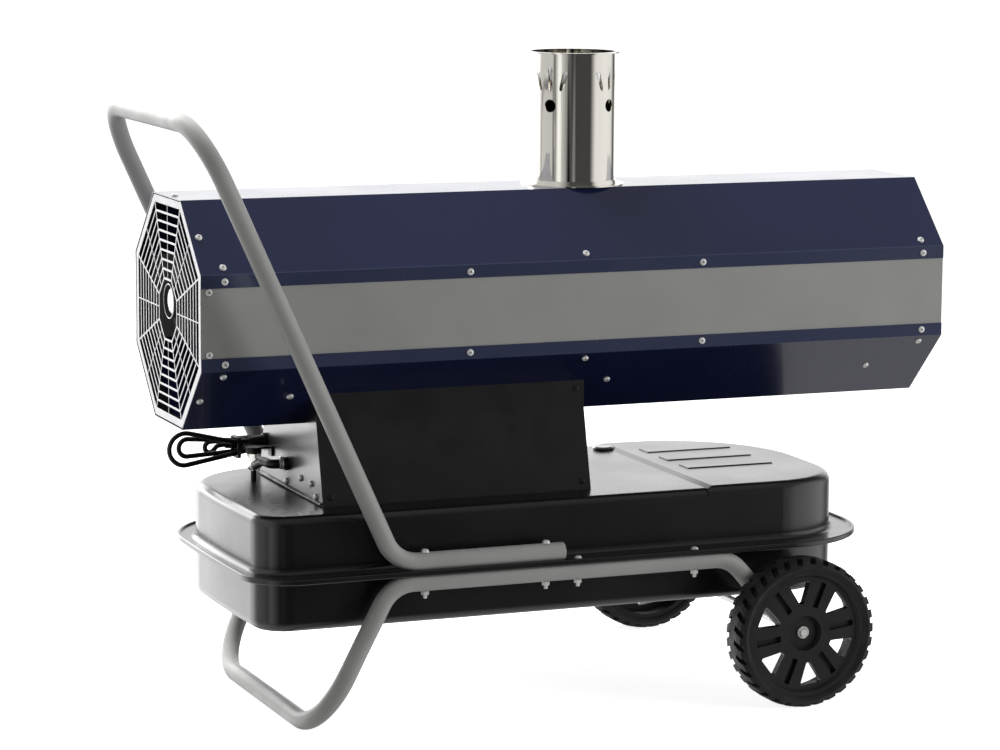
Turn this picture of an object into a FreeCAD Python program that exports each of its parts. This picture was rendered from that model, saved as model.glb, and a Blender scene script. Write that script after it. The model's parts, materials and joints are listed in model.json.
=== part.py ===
import FreeCAD, Part
import math
import os

# Indirect-fired diesel heater: an octagonal casing on a burner housing, a pressed fuel tank
# clamped between two bent tube frames, and two wheels on a fixed axle.
# Millimetres. +X towards the hot-air outlet, -Y the near side, +Z up, floor at z = 0.
# Places called FROM_INLET are measured along X from the casing's air inlet.

V = FreeCAD.Vector
UP = V(0, 0, 1)
AHEAD = V(1, 0, 0)
ACROSS = V(0, 1, 0)
OCT = math.tan(math.radians(22.5))

# Octagonal casing
CASING_LENGTH = 1108.0
CASING_FLATS = 310.0
SHELL_SHEET = 1.2
SHELL_LIP = 17.5
PANEL_SHEET = 1.2
PANEL_LAP = 12.0
FIT_GAP = 0.2

# Casing screws
SCREW_HEAD_R = 4.8
SCREW_HEAD_HEIGHT = 2.6
END_SCREW_INSET = 33.0
GUARD_SCREW_INSET = 11.5
LIP_SCREW_FROM_EDGE = 9.0
DIAGONAL_SCREW_FROM_EDGE = 12.0
LIP_SCREWS_BETWEEN = 2
SADDLE_SCREWS_FROM_INLET = (138.0, 603.0, 1010.0)

# Fan guard
GUARD_INSET = 4.0
GUARD_SHEET = 1.5
GUARD_RETURN = 18.0
GUARD_BORDER = 12.0
GUARD_OPENING_FLATS = 80.0
GUARD_ROWS = 8
GUARD_BAR = 3.2
GUARD_CORNER_SPOKE = 3.4
GUARD_MIDDLE_SPOKE = 2.4

# Fan and motor
FAN_AXIS_RISE = 12.0
MOTOR_CAP_FROM_INLET = 9.0
MOTOR_CAP_R = 25.0
MOTOR_CAP_LENGTH = 14.0
MOTOR_R = 60.0
MOTOR_LENGTH = 112.0
MOTOR_NOSE_R = 24.0
MOTOR_NOSE_LENGTH = 10.0
SHAFT_R = 6.0
SHAFT_RUNNING_GAP = 0.06
SHAFT_IN_MOTOR = 45.0
SHAFT_OUT = 62.0
BRACKET_FROM_INLET = 80.0
BRACKET_SHEET = 2.0
BRACKET_RING_WIDTH = 16.0
BRACKET_ARM = 34.0
BRACKET_FOOT = 18.0
FAN_R = 128.0
FAN_HUB_R = 32.0
FAN_HUB_LENGTH = 42.0
FAN_HUB_STANDOFF = 14.0
BLADE_INTO_HUB = 4.0
FAN_BLADES = 5
BLADE_THICK = 2.5
BLADE_CHORDS = (62.0, 84.0)
BLADE_PITCHES = (42.0, 26.0)

# Burner and heat exchanger
BURNER_FROM_INLET = 300.0
BURNER_R = 50.0
BURNER_SHEET = 1.5
BURNER_FLANGE_R = 64.0
BURNER_FLANGE = 3.0
BURNER_INTO_CHAMBER = 14.0
DIFFUSER_SHEET = 2.0
DIFFUSER_BACK = 18.0
DIFFUSER_SLOTS = 8
DIFFUSER_SLOT = 4.0
DIFFUSER_EDGE = 10.0
NOZZLE_ROD_R = 8.0
NOZZLE_TIP_R = 3.0
NOZZLE_TIP_LENGTH = 10.0
NOZZLE_ROD_LENGTH = 92.0
ELECTRODE_R = 4.5
ELECTRODE_OFFSET = 24.0
ELECTRODE_LENGTH = 70.0
CHAMBER_FROM_INLET = 430.0
CHAMBER_LENGTH = 500.0
CHAMBER_R = 90.0
CHAMBER_SHEET = 1.5
CHAMBER_DOME = 22.0
JACKET_FROM_INLET = 478.0
JACKET_LENGTH = 410.0
JACKET_R = 125.0
JACKET_SHEET = 1.5
SADDLES_FROM_INLET = (520.0, 840.0)
SADDLE_SHEET = 2.0
SADDLE_HALF_WIDTH = 56.0
SADDLE_RISE = 16.0
SADDLE_FOOT = 26.0

# Flue
FLUE_FROM_INLET = 594.5
FLUE_R = 60.0
FLUE_SHEET = 1.0
FLUE_HEIGHT = 186.5
FLUE_RIM_R = 66.5
FLUE_RIM = 2.6
FLUE_COLLAR_R = 73.0
FLUE_COLLAR_SHEET = 1.5
FLUE_COLLAR_UPSTAND = 7.0
FLUE_HOLE_R = 9.0
FLUE_HOLE_DOWN = 74.0
FLUE_HOLE_ANGLES = (206.5, 326.5, 86.5)
FLUE_SLIT_SPREAD = 23.0
FLUE_SLIT_TOP = 20.0
FLUE_SLIT_LENGTH = 34.0
FLUE_SLIT_TOP_WIDTH = 2.6
FLUE_SLIT_FOOT_WIDTH = 7.0

# Hot-air outlet
OUTLET_INSET = 5.0
OUTLET_SHEET = 1.5
OUTLET_RETURN = 18.0
OUTLET_R = 132.0
OUTLET_COLLAR_LENGTH = 42.0

# Fuel tank
TANK_CENTRE_FROM_INLET = 511.0
TANK_LENGTH = 882.0
TANK_WIDTH = 394.0
TANK_END_BOW = 7.0
INLET_NEAR_CORNER_R = 48.0
INLET_FAR_CORNER_R = 130.0
OUTLET_NEAR_CORNER_R = 120.0
OUTLET_FAR_CORNER_R = 190.0
TANK_TOP = 301.0
TANK_SEAM = 221.5
TANK_BOTTOM = 144.5
TANK_EDGE_R = 14.0
TANK_SHEET = 1.5
INLET_FLANGE = 20.0
OUTLET_FLANGE = 32.0
SIDE_FLANGE = 42.5
FLANGE_COVE_R = 8.0
BEAD_WIDTH = 5.0
BEAD_HEIGHT = 8.0
BEAD_ROUND = 2.2
PAD_FROM_INLET = 722.0
PAD_HEIGHT = 3.0
PAD_SLOPE = 10.0
RIB_COUNT = 3
RIB_LENGTH = 134.0
RIB_WIDTH = 34.0
RIB_HEIGHT = 1.4
RIB_SLOPE = 2.5
RIB_SPACING = 70.0
RIB_FROM_INLET = 824.0
RIB_MIDDLE_Y = 31.0

# Tank fittings
FILLER_PAST_HOUSING = 46.5
FILLER_Y = 142.0
NECK_R = 22.0
NECK_SHEET = 2.0
NECK_HEIGHT = 17.0
NECK_FLANGE_R = 29.0
NECK_FLANGE = 2.0
CAP_RUNNING_GAP = 0.08
CAP_R = 27.0
CAP_SKIRT = 13.0
CAP_TOP = 4.0
CAP_FLUTES = 12
CAP_FLUTE_R = 2.4
CAP_LIFT = 0.4
GAUGE_PAST_FILLER = 99.0
GAUGE_Y = 152.0
GAUGE_R = 16.0
GAUGE_HEIGHT = 5.0
GAUGE_STEM_R = 3.0
GAUGE_STEM = 60.0
DRAIN_FROM_INLET = 130.0
DRAIN_R = 9.0
DRAIN_HEAD = 7.0
DRAIN_SHANK_R = 5.0

# Tube frames
TUBE_R = 12.5
TUBE_WALL = 1.5
TUBE_FROM_TANK = 28.5
LEG_END_FROM_INLET = 490.0
HANDLE_BEND_FROM_INLET = 246.5
GRIP_AHEAD_OF_INLET = 22.0
GRIP_HEIGHT = 824.0
LEG_BEND_R = 50.0
CORNER_BEND_R = 82.0
FRONT_BEND_FROM_INLET = 242.0
FOOT_FROM_INLET = 139.0
REAR_BEND_FROM_INLET = 741.0
TUBE_PAST_AXLE = 18.0
BOLT_CENTRE_FROM_INLET = 488.6
LONG_BOLT_OFFSETS = (-199.4, -23.7)
SHORT_BOLT_OFFSETS = (23.7, 199.4)
BOLT_R = 3.0
BOLT_GAP = 0.3
BOLT_HEAD_R = 5.5
BOLT_HEAD = 4.5
BOLT_PAST_NUT = 5.0
NUT_FLATS = 10.0
NUT_HEIGHT = 5.0

# Axle and wheels
AXLE_FROM_INLET = 833.5
AXLE_R = 5.0
AXLE_RUNNING_GAP = 0.06
WHEEL_R = 105.0
WHEEL_WIDTH = 50.0
WHEEL_STANDOFF = 2.0
WASHER_R = 11.0
WASHER = 1.6
RIM_R = 88.0
RIM_BARREL = 6.0
RIM_SIDE = 4.0
WEB_FRONT = 41.0
WEB_THICK = 11.0
HUB_R = 16.0
HUB_LENGTH = 33.0
CUP_R = 25.0
WINDOWS = 6
WINDOW_START = 38.0
WINDOW_OUTER = 73.0
WINDOW_INNER = 42.0
WINDOW_OUTER_HALF = 17.0
WINDOW_INNER_HALF = 3.0
WINDOW_ROUND = 3.0
GROOVE_INNER = 38.0
GROOVE_OUTER = 75.0
GROOVE_WIDTH = 8.5
GROOVE_DEPTH = 6.0
TREAD_LUGS = 32
TREAD_NOTCH = 8.0
TREAD_DEPTH = 6.5
TREAD_REACH = 21.0
TREAD_SLANT = 24.0
SHOULDER = 4.0
PUSH_NUT_R = 8.7
PUSH_NUT = 3.2
AXLE_PAST_NUT = 2.0

# Burner housing
HOUSING_FROM_INLET = 175.0
HOUSING_LENGTH = 393.5
HOUSING_HEIGHT = 103.5
HOUSING_HALF_FOOT = 138.5
HOUSING_HALF_TOP = 110.5
FOLD_ABOVE_CASING_FOOT = 7.0
HOUSING_SHEET = 1.5
COVER_SCREW_R = 4.0
COVER_SCREW_HEAD = 2.2
COVER_SCREW_INSET = 12.0
PLATE_SCREWS = ((-90.0, 22.0), (-46.0, 22.5), (-109.0, 7.0), (16.5, 8.0))

# Controls on the far cover, measured along X from the housing's inlet end and up the slope
CONTROL_UP = 62.0
KNOB_ALONG = 90.0
KNOB_R = 17.0
KNOB_HEIGHT = 15.0
KNOB_GRIP = 9.0
KNOB_GAP = 0.4
SPINDLE_R = 5.0
SPINDLE_LENGTH = 12.0
RESET_ALONG = 150.0
RESET_R = 8.0
RESET_OUT = 6.0
RESET_COLLAR_R = 10.5
RESET_COLLAR = 2.0
RESET_STEM = 8.0
RESET_GAP = 0.06
LAMP_ALONG = 195.0
LAMP_R = 6.0
LAMP_DOME = 5.0
LAMP_BEZEL_R = 8.5
SOCKET_ALONG = 265.0
SOCKET_R = 12.0
SOCKET_FLANGE_R = 17.0
SOCKET_OUT = 14.0
SOCKET_FLANGE = 2.5

# Parts on the housing floor: length, width, height, and place from the housing's inlet end
TRANSFORMER = (92.0, 74.0, 62.0)
TRANSFORMER_ALONG = 280.0
TRANSFORMER_Y = -56.0
TRANSFORMER_ROUND = 5.0
POST_R = 7.0
POST_HEIGHT = 12.0
POST_OFFSET = 22.0
CONTROL_BOX = (110.0, 66.0, 44.0)
CONTROL_BOX_ALONG = 150.0
CONTROL_BOX_Y = 60.0
CONTROL_BOX_LEDGE = 4.0
CONTROL_BOX_ROUND = 4.0
PUMP_BASE = (70.0, 50.0, 12.0)
PUMP_ALONG = 96.0
PUMP_Y = -52.0
PUMP_R = 19.0
PUMP_HEIGHT = 58.0
PUMP_PORT_R = 5.0

# Fuel filter and hoses on the inlet end plate
FILTER_OFF_PLATE = 27.0
FILTER_Y = 83.0
BOWL_R = 9.0
BOWL_BOTTOM = 316.5
BOWL_HEIGHT = 24.0
FILTER_HEAD_R = 11.0
FILTER_HEAD = 9.0
FILTER_TAB_WIDTH = 14.0
FILTER_TAB = 3.0
HOSE_R = 6.5
SUCTION_R = 4.0
HOSE_BEND_R = 15.0
HOSE_END_Y = 14.0
HOSE_END_Z = 335.5
HOSE_RISE_FROM_BOWL = 8.0
GLAND_HOSE_R = 9.5
GLAND_HOSE_LENGTH = 6.0

# Mains lead: gland, hank of loops, tie and plug
CORD_R = 3.5
CORD_FROM_COVER = 14.8
CORD_Z = 353.0
GLAND_R = 10.5
GLAND_NUT = 5.0
GLAND_LENGTH = 26.0
GLAND_TIP_R = 5.2
GLAND_SHANK_R = 6.5
LEAD_LENGTH = 9.0
LOOP_CENTRES_OFF_PLATE = (122.5, 110.5, 78.5)
LOOP_CENTRES_Z = (341.0, 346.5, 342.0)
LOOP_RADII = (17.5, 12.5, 8.0)
LOOP_STEPS = (12.0, 9.5, 16.5)
FOLD_OFF_PLATE = 31.5
FOLD_Z = 344.5
FOLD_R = 8.0
TIE_OFF_PLATE = 40.5
TIE_WIDTH = 5.0
TIE_SHEET = 1.4
PLUG_OFF_PLATE = 48.5
PLUG_Z = 343.0
BOOT_LENGTH = 13.0
BOOT_R = 5.0
PLUG_LENGTH = 26.0
PLUG_WIDTH = 16.0
PLUG_HEIGHT = 22.0
PLUG_ROUND = 4.0
PIN_R = 2.2
PIN_LENGTH = 16.0
PIN_SPACING = 14.0

# Places worked out from the sizes above
X_INLET = (GRIP_AHEAD_OF_INLET + TUBE_R - CASING_LENGTH) / 2
X_OUTLET = X_INLET + CASING_LENGTH
HALF = CASING_FLATS / 2
AXIS_HEIGHT = TANK_TOP + HOUSING_HEIGHT + HALF
HOUSING_FOLD_HEIGHT = HOUSING_HEIGHT + FOLD_ABOVE_CASING_FOOT
INNER_FLATS = CASING_FLATS - 2 * (SHELL_SHEET + PANEL_SHEET + FIT_GAP)
CASING_TOP = AXIS_HEIGHT + HALF
CASING_FLOOR = AXIS_HEIGHT - HALF + SHELL_SHEET
FAN_AXIS = AXIS_HEIGHT + FAN_AXIS_RISE
MOTOR_FRONT = X_INLET + MOTOR_CAP_FROM_INLET + MOTOR_CAP_LENGTH
MOTOR_BACK = MOTOR_FRONT + MOTOR_LENGTH + MOTOR_NOSE_LENGTH
CHAMBER_FRONT = X_INLET + CHAMBER_FROM_INLET
X_FLUE = X_INLET + FLUE_FROM_INLET
X_TANK = X_INLET + TANK_CENTRE_FROM_INLET
X_AXLE = X_INLET + AXLE_FROM_INLET
TUBE_Y = TANK_WIDTH / 2 + TUBE_FROM_TANK
HANDLE_LEG_Z = TANK_SEAM + TANK_SHEET + TUBE_R
LOWER_TUBE_Z = TANK_SEAM - TANK_SHEET - TUBE_R
WHEEL_INNER = TUBE_Y + TUBE_R + WHEEL_STANDOFF
X_HOUSING = X_INLET + HOUSING_FROM_INLET
X_HOUSING_END = X_HOUSING + HOUSING_LENGTH
X_FILLER = X_HOUSING_END + FILLER_PAST_HOUSING
X_GAUGE = X_FILLER + GAUGE_PAST_FILLER
HOUSING_FLOOR = TANK_TOP + HOUSING_SHEET
FOLD_HEIGHT = TANK_TOP + HOUSING_FOLD_HEIGHT
COVER_LEAN = (HOUSING_HALF_FOOT - HOUSING_HALF_TOP) / HOUSING_FOLD_HEIGHT
CORD_Y = HOUSING_HALF_FOOT - COVER_LEAN * (CORD_Z - TANK_TOP) - CORD_FROM_COVER
PLUG_Y = CORD_Y + sum(LOOP_STEPS)
OUTBOARD = V(0, -1, 0)
FACE_LEAN = math.atan2(HOUSING_HALF_FOOT - HOUSING_HALF_TOP, HOUSING_FOLD_HEIGHT)
FACE_OUT = V(0, math.cos(FACE_LEAN), math.sin(FACE_LEAN))


# Small shape helpers

def box(low, high):
    return Part.makeBox(high[0] - low[0], high[1] - low[1], high[2] - low[2], V(*low))


def rod(start, direction, radius, length):
    return Part.makeCylinder(radius, length, start, direction)


def ring(start, direction, outer, inner, length):
    return rod(start, direction, outer, length).cut(rod(start, direction, inner, length))


def prism(points, along):
    return Part.Face(Part.makePolygon(points + [points[0]])).extrude(along)


def fuse(shapes):
    whole = shapes[0].multiFuse(shapes[1:]) if len(shapes) > 1 else shapes[0]
    return whole.removeSplitter()


def spun(profile, centre, axis, outward):
    # Turns a closed profile of (distance along the axis, radius) pairs about the axis.
    points = [centre + axis * along + outward * radius for along, radius in profile]
    return Part.Face(Part.makePolygon(points + [points[0]])).revolve(centre, axis, 360)


def unit(vector):
    return vector * (1.0 / vector.Length)


def edges_along(shape, direction):
    found = []
    for edge in shape.Edges:
        ends = edge.Vertexes
        if len(ends) == 2 and edge.Curve.TypeId == "Part::GeomLine":
            run = ends[1].Point - ends[0].Point
            if run.cross(direction).Length < 1e-6 * run.Length:
                found.append(edge)
    return found


def bent_wire(points, radii):
    # Straight runs joined by tangent arcs, one bend radius for each inner point.
    edges = []
    start = points[0]
    for before, corner, after, radius in zip(points, points[1:], points[2:], radii):
        back = unit(before - corner)
        forth = unit(after - corner)
        half = back.getAngle(forth) / 2
        bisector = unit(back + forth)
        tangent = radius / math.tan(half)
        middle = corner + bisector * (radius / math.sin(half) - radius)
        arc_start = corner + back * tangent
        arc_end = corner + forth * tangent
        edges.append(Part.LineSegment(start, arc_start).toShape())
        edges.append(Part.Arc(arc_start, middle, arc_end).toShape())
        start = arc_end
    edges.append(Part.LineSegment(start, points[-1]).toShape())
    return Part.Wire(edges)


def swept(wire, start, direction, radius):
    circle = Part.Wire([Part.makeCircle(radius, start, direction)])
    return wire.makePipeShell([circle], True, False)


def bent_tube(points, radii, radius, wall):
    wire = bent_wire(points, radii)
    direction = points[1] - points[0]
    outside = swept(wire, points[0], direction, radius)
    inside = swept(wire, points[0], direction, radius - wall)
    return outside.cut(inside)


def mirrored(shape):
    return shape.mirror(V(0, 0, 0), ACROSS)


# Octagonal casing

def octagon(flats, x):
    half = flats / 2
    side = half * OCT
    corners = ((-side, half), (side, half), (half, side), (half, -side),
               (side, -half), (-side, -half), (-half, -side), (-half, side))
    return [V(x, y, AXIS_HEIGHT + z) for y, z in corners]


def casing_shell(upward):
    inner = HALF - SHELL_SHEET
    edge = HALF * OCT - SHELL_LIP
    outside = [(-HALF, edge), (-HALF, HALF * OCT), (-HALF * OCT, HALF)]
    inside = [(-inner, edge), (-inner, inner * OCT), (-inner * OCT, inner)]
    outline = outside + [(-y, z) for y, z in reversed(outside)]
    outline += [(-y, z) for y, z in inside] + list(reversed(inside))
    points = [V(X_INLET, y, AXIS_HEIGHT + upward * z) for y, z in outline]
    return prism(points, AHEAD * CASING_LENGTH)


def casing_upper_shell():
    hole = rod(V(X_FLUE, 0, AXIS_HEIGHT), UP, FLUE_R - FLUE_SHEET, CASING_FLATS)
    return casing_shell(1).cut(hole)


def side_panel_near():
    outer = -HALF + SHELL_SHEET
    reach = HALF * OCT - SHELL_LIP + PANEL_LAP
    low = (X_INLET, outer, AXIS_HEIGHT - reach)
    high = (X_OUTLET, outer + PANEL_SHEET, AXIS_HEIGHT + reach)
    return box(low, high)


def face_point(angle, along, x):
    # A point on an outer face of the casing: the face's angle from +Y, and the offset along the face.
    a = math.radians(angle)
    out = V(0, math.cos(a), math.sin(a))
    side = V(0, -math.sin(a), math.cos(a))
    return V(x, 0, AXIS_HEIGHT) + out * HALF + side * along, out


def casing_screws():
    ends = (X_INLET + END_SCREW_INSET, X_OUTLET - END_SCREW_INSET)
    middle = (ends[0] + ends[1]) / 2
    gap = (ends[1] - ends[0]) / (LIP_SCREWS_BETWEEN + 1)
    lip_places = [ends[0] + gap * i for i in range(LIP_SCREWS_BETWEEN + 2)]
    lip_height = HALF * OCT - LIP_SCREW_FROM_EDGE
    diagonal = HALF * OCT - DIAGONAL_SCREW_FROM_EDGE
    near_guard = X_INLET + GUARD_SCREW_INSET
    panel_height = HALF * OCT - SHELL_LIP - SCREW_HEAD_R - FIT_GAP
    places = [(90, 0, near_guard, 0), (270, 0, near_guard, 0)]
    for side, turn in ((0, 1), (180, -1)):
        for up in (1, -1):
            places += [(side, up * turn * lip_height, x, 0) for x in lip_places]
            places.append((side, up * turn * panel_height, near_guard, SHELL_SHEET))
            face = side + 45 * up * turn
            places += [(face, -up * turn * diagonal, x, 0) for x in (ends[0], middle, ends[1])]
            places.append((face, 0, near_guard, 0))
        face = side - 45 * turn
        places += [(face, 0, X_INLET + x, 0) for x in SADDLE_SCREWS_FROM_INLET]
    heads = []
    for angle, along, x, sunk in places:
        point, out = face_point(angle, along, x)
        heads.append(rod(point - out * sunk, out, SCREW_HEAD_R, SCREW_HEAD_HEIGHT))
    return Part.makeCompound(heads)


# Fan guard: rows of cells between corner spokes and middle spokes

def guard_cells(x):
    outermost = INNER_FLATS / 2 - GUARD_BORDER
    innermost = GUARD_OPENING_FLATS / 2 + GUARD_BAR
    pitch = (outermost - innermost + GUARD_BAR) / GUARD_ROWS
    corner = GUARD_CORNER_SPOKE / 2 / math.cos(math.radians(22.5))
    cells = []
    for face in range(8):
        a = math.radians(45 * face)
        out = V(0, math.cos(a), math.sin(a))
        side = V(0, -math.sin(a), math.cos(a))
        for row in range(GUARD_ROWS):
            outer = outermost - pitch * row
            inner = outer - pitch + GUARD_BAR
            for hand in (1, -1):
                near = GUARD_MIDDLE_SPOKE / 2
                quad = ((inner, near), (outer, near),
                        (outer, outer * OCT - corner), (inner, inner * OCT - corner))
                points = [V(x, 0, AXIS_HEIGHT) + out * u + side * (hand * v) for u, v in quad]
                cells.append(Part.makePolygon(points + [points[0]]))
    return cells


def octagon_wire(flats, x):
    points = octagon(flats, x)
    return Part.makePolygon(points + [points[0]])


def fan_guard():
    x = X_INLET + GUARD_INSET
    wires = [octagon_wire(INNER_FLATS, x), octagon_wire(GUARD_OPENING_FLATS, x)] + guard_cells(x)
    plate = Part.makeFace(wires, "Part::FaceMakerBullseye").extrude(AHEAD * GUARD_SHEET)
    rim_face = Part.makeFace([octagon_wire(INNER_FLATS, x), octagon_wire(INNER_FLATS - 2 * GUARD_SHEET, x)],
                             "Part::FaceMakerBullseye")
    return fuse([plate, rim_face.extrude(AHEAD * GUARD_RETURN)])


# Fan, motor and bracket

def fan_axis_point(x):
    return V(x, 0, FAN_AXIS)


def motor_end_cap():
    start = fan_axis_point(X_INLET + MOTOR_CAP_FROM_INLET)
    step = MOTOR_CAP_LENGTH / 2
    profile = ((0, 0), (0, MOTOR_CAP_R * 0.72), (step * 0.6, MOTOR_CAP_R), (step, MOTOR_CAP_R),
               (step, MOTOR_CAP_R * 1.5), (MOTOR_CAP_LENGTH, MOTOR_R * 0.92), (MOTOR_CAP_LENGTH, 0))
    return spun(profile, start, AHEAD, UP)


def fan_motor():
    bore = SHAFT_R + SHAFT_RUNNING_GAP
    end = MOTOR_LENGTH + MOTOR_NOSE_LENGTH
    profile = ((0, 0), (0, MOTOR_R - 3), (3, MOTOR_R), (MOTOR_LENGTH - 6, MOTOR_R),
               (MOTOR_LENGTH, MOTOR_R - 6), (MOTOR_LENGTH, MOTOR_NOSE_R), (end, MOTOR_NOSE_R), (end, bore),
               (end - SHAFT_IN_MOTOR, bore), (end - SHAFT_IN_MOTOR, 0))
    return spun(profile, fan_axis_point(MOTOR_FRONT), AHEAD, UP)


def motor_shaft():
    inside = SHAFT_IN_MOTOR - SHAFT_RUNNING_GAP
    return rod(fan_axis_point(MOTOR_BACK - inside), AHEAD, SHAFT_R, inside + SHAFT_OUT)


def motor_bracket():
    x = X_INLET + BRACKET_FROM_INLET
    sheet = AHEAD * BRACKET_SHEET
    reach = HALF - SHELL_SHEET
    axis = V(x, 0, AXIS_HEIGHT)
    pieces = [rod(fan_axis_point(x), AHEAD, MOTOR_R + BRACKET_RING_WIDTH, BRACKET_SHEET)]
    for turn in (45, 135, 225, 315):
        a = math.radians(turn)
        out = V(0, math.cos(a), math.sin(a))
        side = V(0, -math.sin(a), math.cos(a)) * (BRACKET_ARM / 2)
        tip = axis + out * reach
        pieces.append(prism([axis - side, tip - side, tip + side, axis + side], sheet))
        inset = tip - out * BRACKET_SHEET
        pieces.append(prism([inset - side, tip - side, tip + side, inset + side], AHEAD * BRACKET_FOOT))
    hole = rod(fan_axis_point(x), AHEAD, MOTOR_R + FIT_GAP / 2, BRACKET_SHEET)
    return fuse(pieces).cut(hole)


def fan_blade(angle, x):
    a = math.radians(angle)
    out = V(0, math.cos(a), math.sin(a))
    turning = V(0, -math.sin(a), math.cos(a))
    wires = []
    for radius, chord, pitch in zip((FAN_HUB_R - BLADE_INTO_HUB, FAN_R), BLADE_CHORDS, BLADE_PITCHES):
        p = math.radians(pitch)
        along = (turning * math.cos(p) + AHEAD * math.sin(p)) * (chord / 2)
        across = (AHEAD * math.cos(p) - turning * math.sin(p)) * (BLADE_THICK / 2)
        centre = fan_axis_point(x) + out * radius
        points = [centre - along - across, centre + along - across,
                  centre + along + across, centre - along + across]
        wires.append(Part.makePolygon(points + [points[0]]))
    return Part.makeLoft(wires, True, True)


def fan_rotor():
    start = MOTOR_BACK + FAN_HUB_STANDOFF
    hub = rod(fan_axis_point(start), AHEAD, FAN_HUB_R, FAN_HUB_LENGTH)
    middle = start + FAN_HUB_LENGTH / 2
    blades = [fan_blade(360.0 / FAN_BLADES * i, middle) for i in range(FAN_BLADES)]
    bore = rod(fan_axis_point(start), AHEAD, SHAFT_R, FAN_HUB_LENGTH)
    return fuse([hub] + blades).cut(bore)


# Burner and heat exchanger

def axis_point(x):
    return V(x, 0, AXIS_HEIGHT)


def burner_tube():
    start = X_INLET + BURNER_FROM_INLET
    length = CHAMBER_FRONT + BURNER_INTO_CHAMBER - start
    tube = ring(axis_point(start), AHEAD, BURNER_R, BURNER_R - BURNER_SHEET, length)
    flange = ring(axis_point(CHAMBER_FRONT - BURNER_FLANGE), AHEAD, BURNER_FLANGE_R,
                  BURNER_R - BURNER_SHEET, BURNER_FLANGE)
    return fuse([tube, flange])


def diffuser_disc():
    x = CHAMBER_FRONT - DIFFUSER_BACK
    outer = BURNER_R - BURNER_SHEET - FIT_GAP
    disc = ring(axis_point(x), AHEAD, outer, NOZZLE_ROD_R + FIT_GAP / 2, DIFFUSER_SHEET)
    half = DIFFUSER_SLOT / 2
    slots = []
    for i in range(DIFFUSER_SLOTS):
        slot = box((x, NOZZLE_ROD_R * 2, AXIS_HEIGHT - half),
                   (x + DIFFUSER_SHEET, BURNER_R - DIFFUSER_EDGE, AXIS_HEIGHT + half))
        slot.rotate(axis_point(x), AHEAD, (i + 0.5) * 360.0 / DIFFUSER_SLOTS)
        slots.append(slot)
    holes = [rod(V(x, hand * ELECTRODE_OFFSET, AXIS_HEIGHT), AHEAD, ELECTRODE_R + FIT_GAP / 2, DIFFUSER_SHEET)
             for hand in (1, -1)]
    return disc.cut(slots + holes)


def nozzle_holder():
    end = CHAMBER_FRONT - DIFFUSER_BACK + DIFFUSER_SHEET + NOZZLE_TIP_LENGTH
    start = end - NOZZLE_ROD_LENGTH
    profile = ((0, 0), (0, NOZZLE_ROD_R), (NOZZLE_ROD_LENGTH - NOZZLE_TIP_LENGTH, NOZZLE_ROD_R),
               (NOZZLE_ROD_LENGTH, NOZZLE_TIP_R), (NOZZLE_ROD_LENGTH, 0))
    return spun(profile, axis_point(start), AHEAD, UP)


def electrodes():
    end = CHAMBER_FRONT - DIFFUSER_BACK + DIFFUSER_SHEET + NOZZLE_TIP_LENGTH
    start = end - ELECTRODE_LENGTH
    rods = [rod(V(start, hand * ELECTRODE_OFFSET, AXIS_HEIGHT), AHEAD, ELECTRODE_R, ELECTRODE_LENGTH)
            for hand in (1, -1)]
    return Part.makeCompound(rods)


def combustion_chamber():
    inner = CHAMBER_R - CHAMBER_SHEET
    end = CHAMBER_LENGTH
    dome = CHAMBER_DOME
    hole = BURNER_R + FIT_GAP / 2
    profile = ((0, hole), (0, CHAMBER_R), (end, CHAMBER_R), (end + dome * 0.7, CHAMBER_R * 0.72),
               (end + dome, CHAMBER_R * 0.3), (end + dome, 0), (end + dome - CHAMBER_SHEET, 0),
               (end + dome - CHAMBER_SHEET, CHAMBER_R * 0.3 - 1),
               (end + dome * 0.7 - 2, CHAMBER_R * 0.72 - 1),
               (end - 1, inner), (CHAMBER_SHEET, inner), (CHAMBER_SHEET, hole))
    return spun(profile, axis_point(CHAMBER_FRONT), AHEAD, UP)


def heat_exchanger():
    start = X_INLET + JACKET_FROM_INLET
    inner = JACKET_R - JACKET_SHEET
    hole = CHAMBER_R + FIT_GAP / 2
    end = JACKET_LENGTH
    profile = ((0, hole), (0, JACKET_R), (end, JACKET_R), (end, hole), (end - JACKET_SHEET, hole),
               (end - JACKET_SHEET, inner), (JACKET_SHEET, inner), (JACKET_SHEET, hole))
    jacket = spun(profile, axis_point(start), AHEAD, UP)
    bore = FLUE_R - 2 * FLUE_SHEET - FIT_GAP
    foot = V(X_FLUE, 0, AXIS_HEIGHT + CHAMBER_R + FIT_GAP)
    rise = CASING_TOP - SHELL_SHEET - foot.z
    stub = rod(foot, UP, bore + FLUE_SHEET, rise)
    stub = stub.cut(rod(axis_point(start), AHEAD, inner, end))
    return fuse([jacket, stub]).cut(rod(foot, UP, bore, rise))


def exchanger_saddles():
    saddles = []
    for place in SADDLES_FROM_INLET:
        x = X_INLET + place
        top = AXIS_HEIGHT - JACKET_R + SADDLE_RISE
        plate = box((x, -SADDLE_HALF_WIDTH, CASING_FLOOR), (x + SADDLE_SHEET, SADDLE_HALF_WIDTH, top))
        foot = box((x, -SADDLE_HALF_WIDTH, CASING_FLOOR),
                   (x + SADDLE_FOOT, SADDLE_HALF_WIDTH, CASING_FLOOR + SADDLE_SHEET))
        round_seat = rod(axis_point(x), AHEAD, JACKET_R + FIT_GAP, SADDLE_FOOT)
        saddles.append(fuse([plate, foot]).cut(round_seat))
    return Part.makeCompound(saddles)


# Flue

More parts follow.
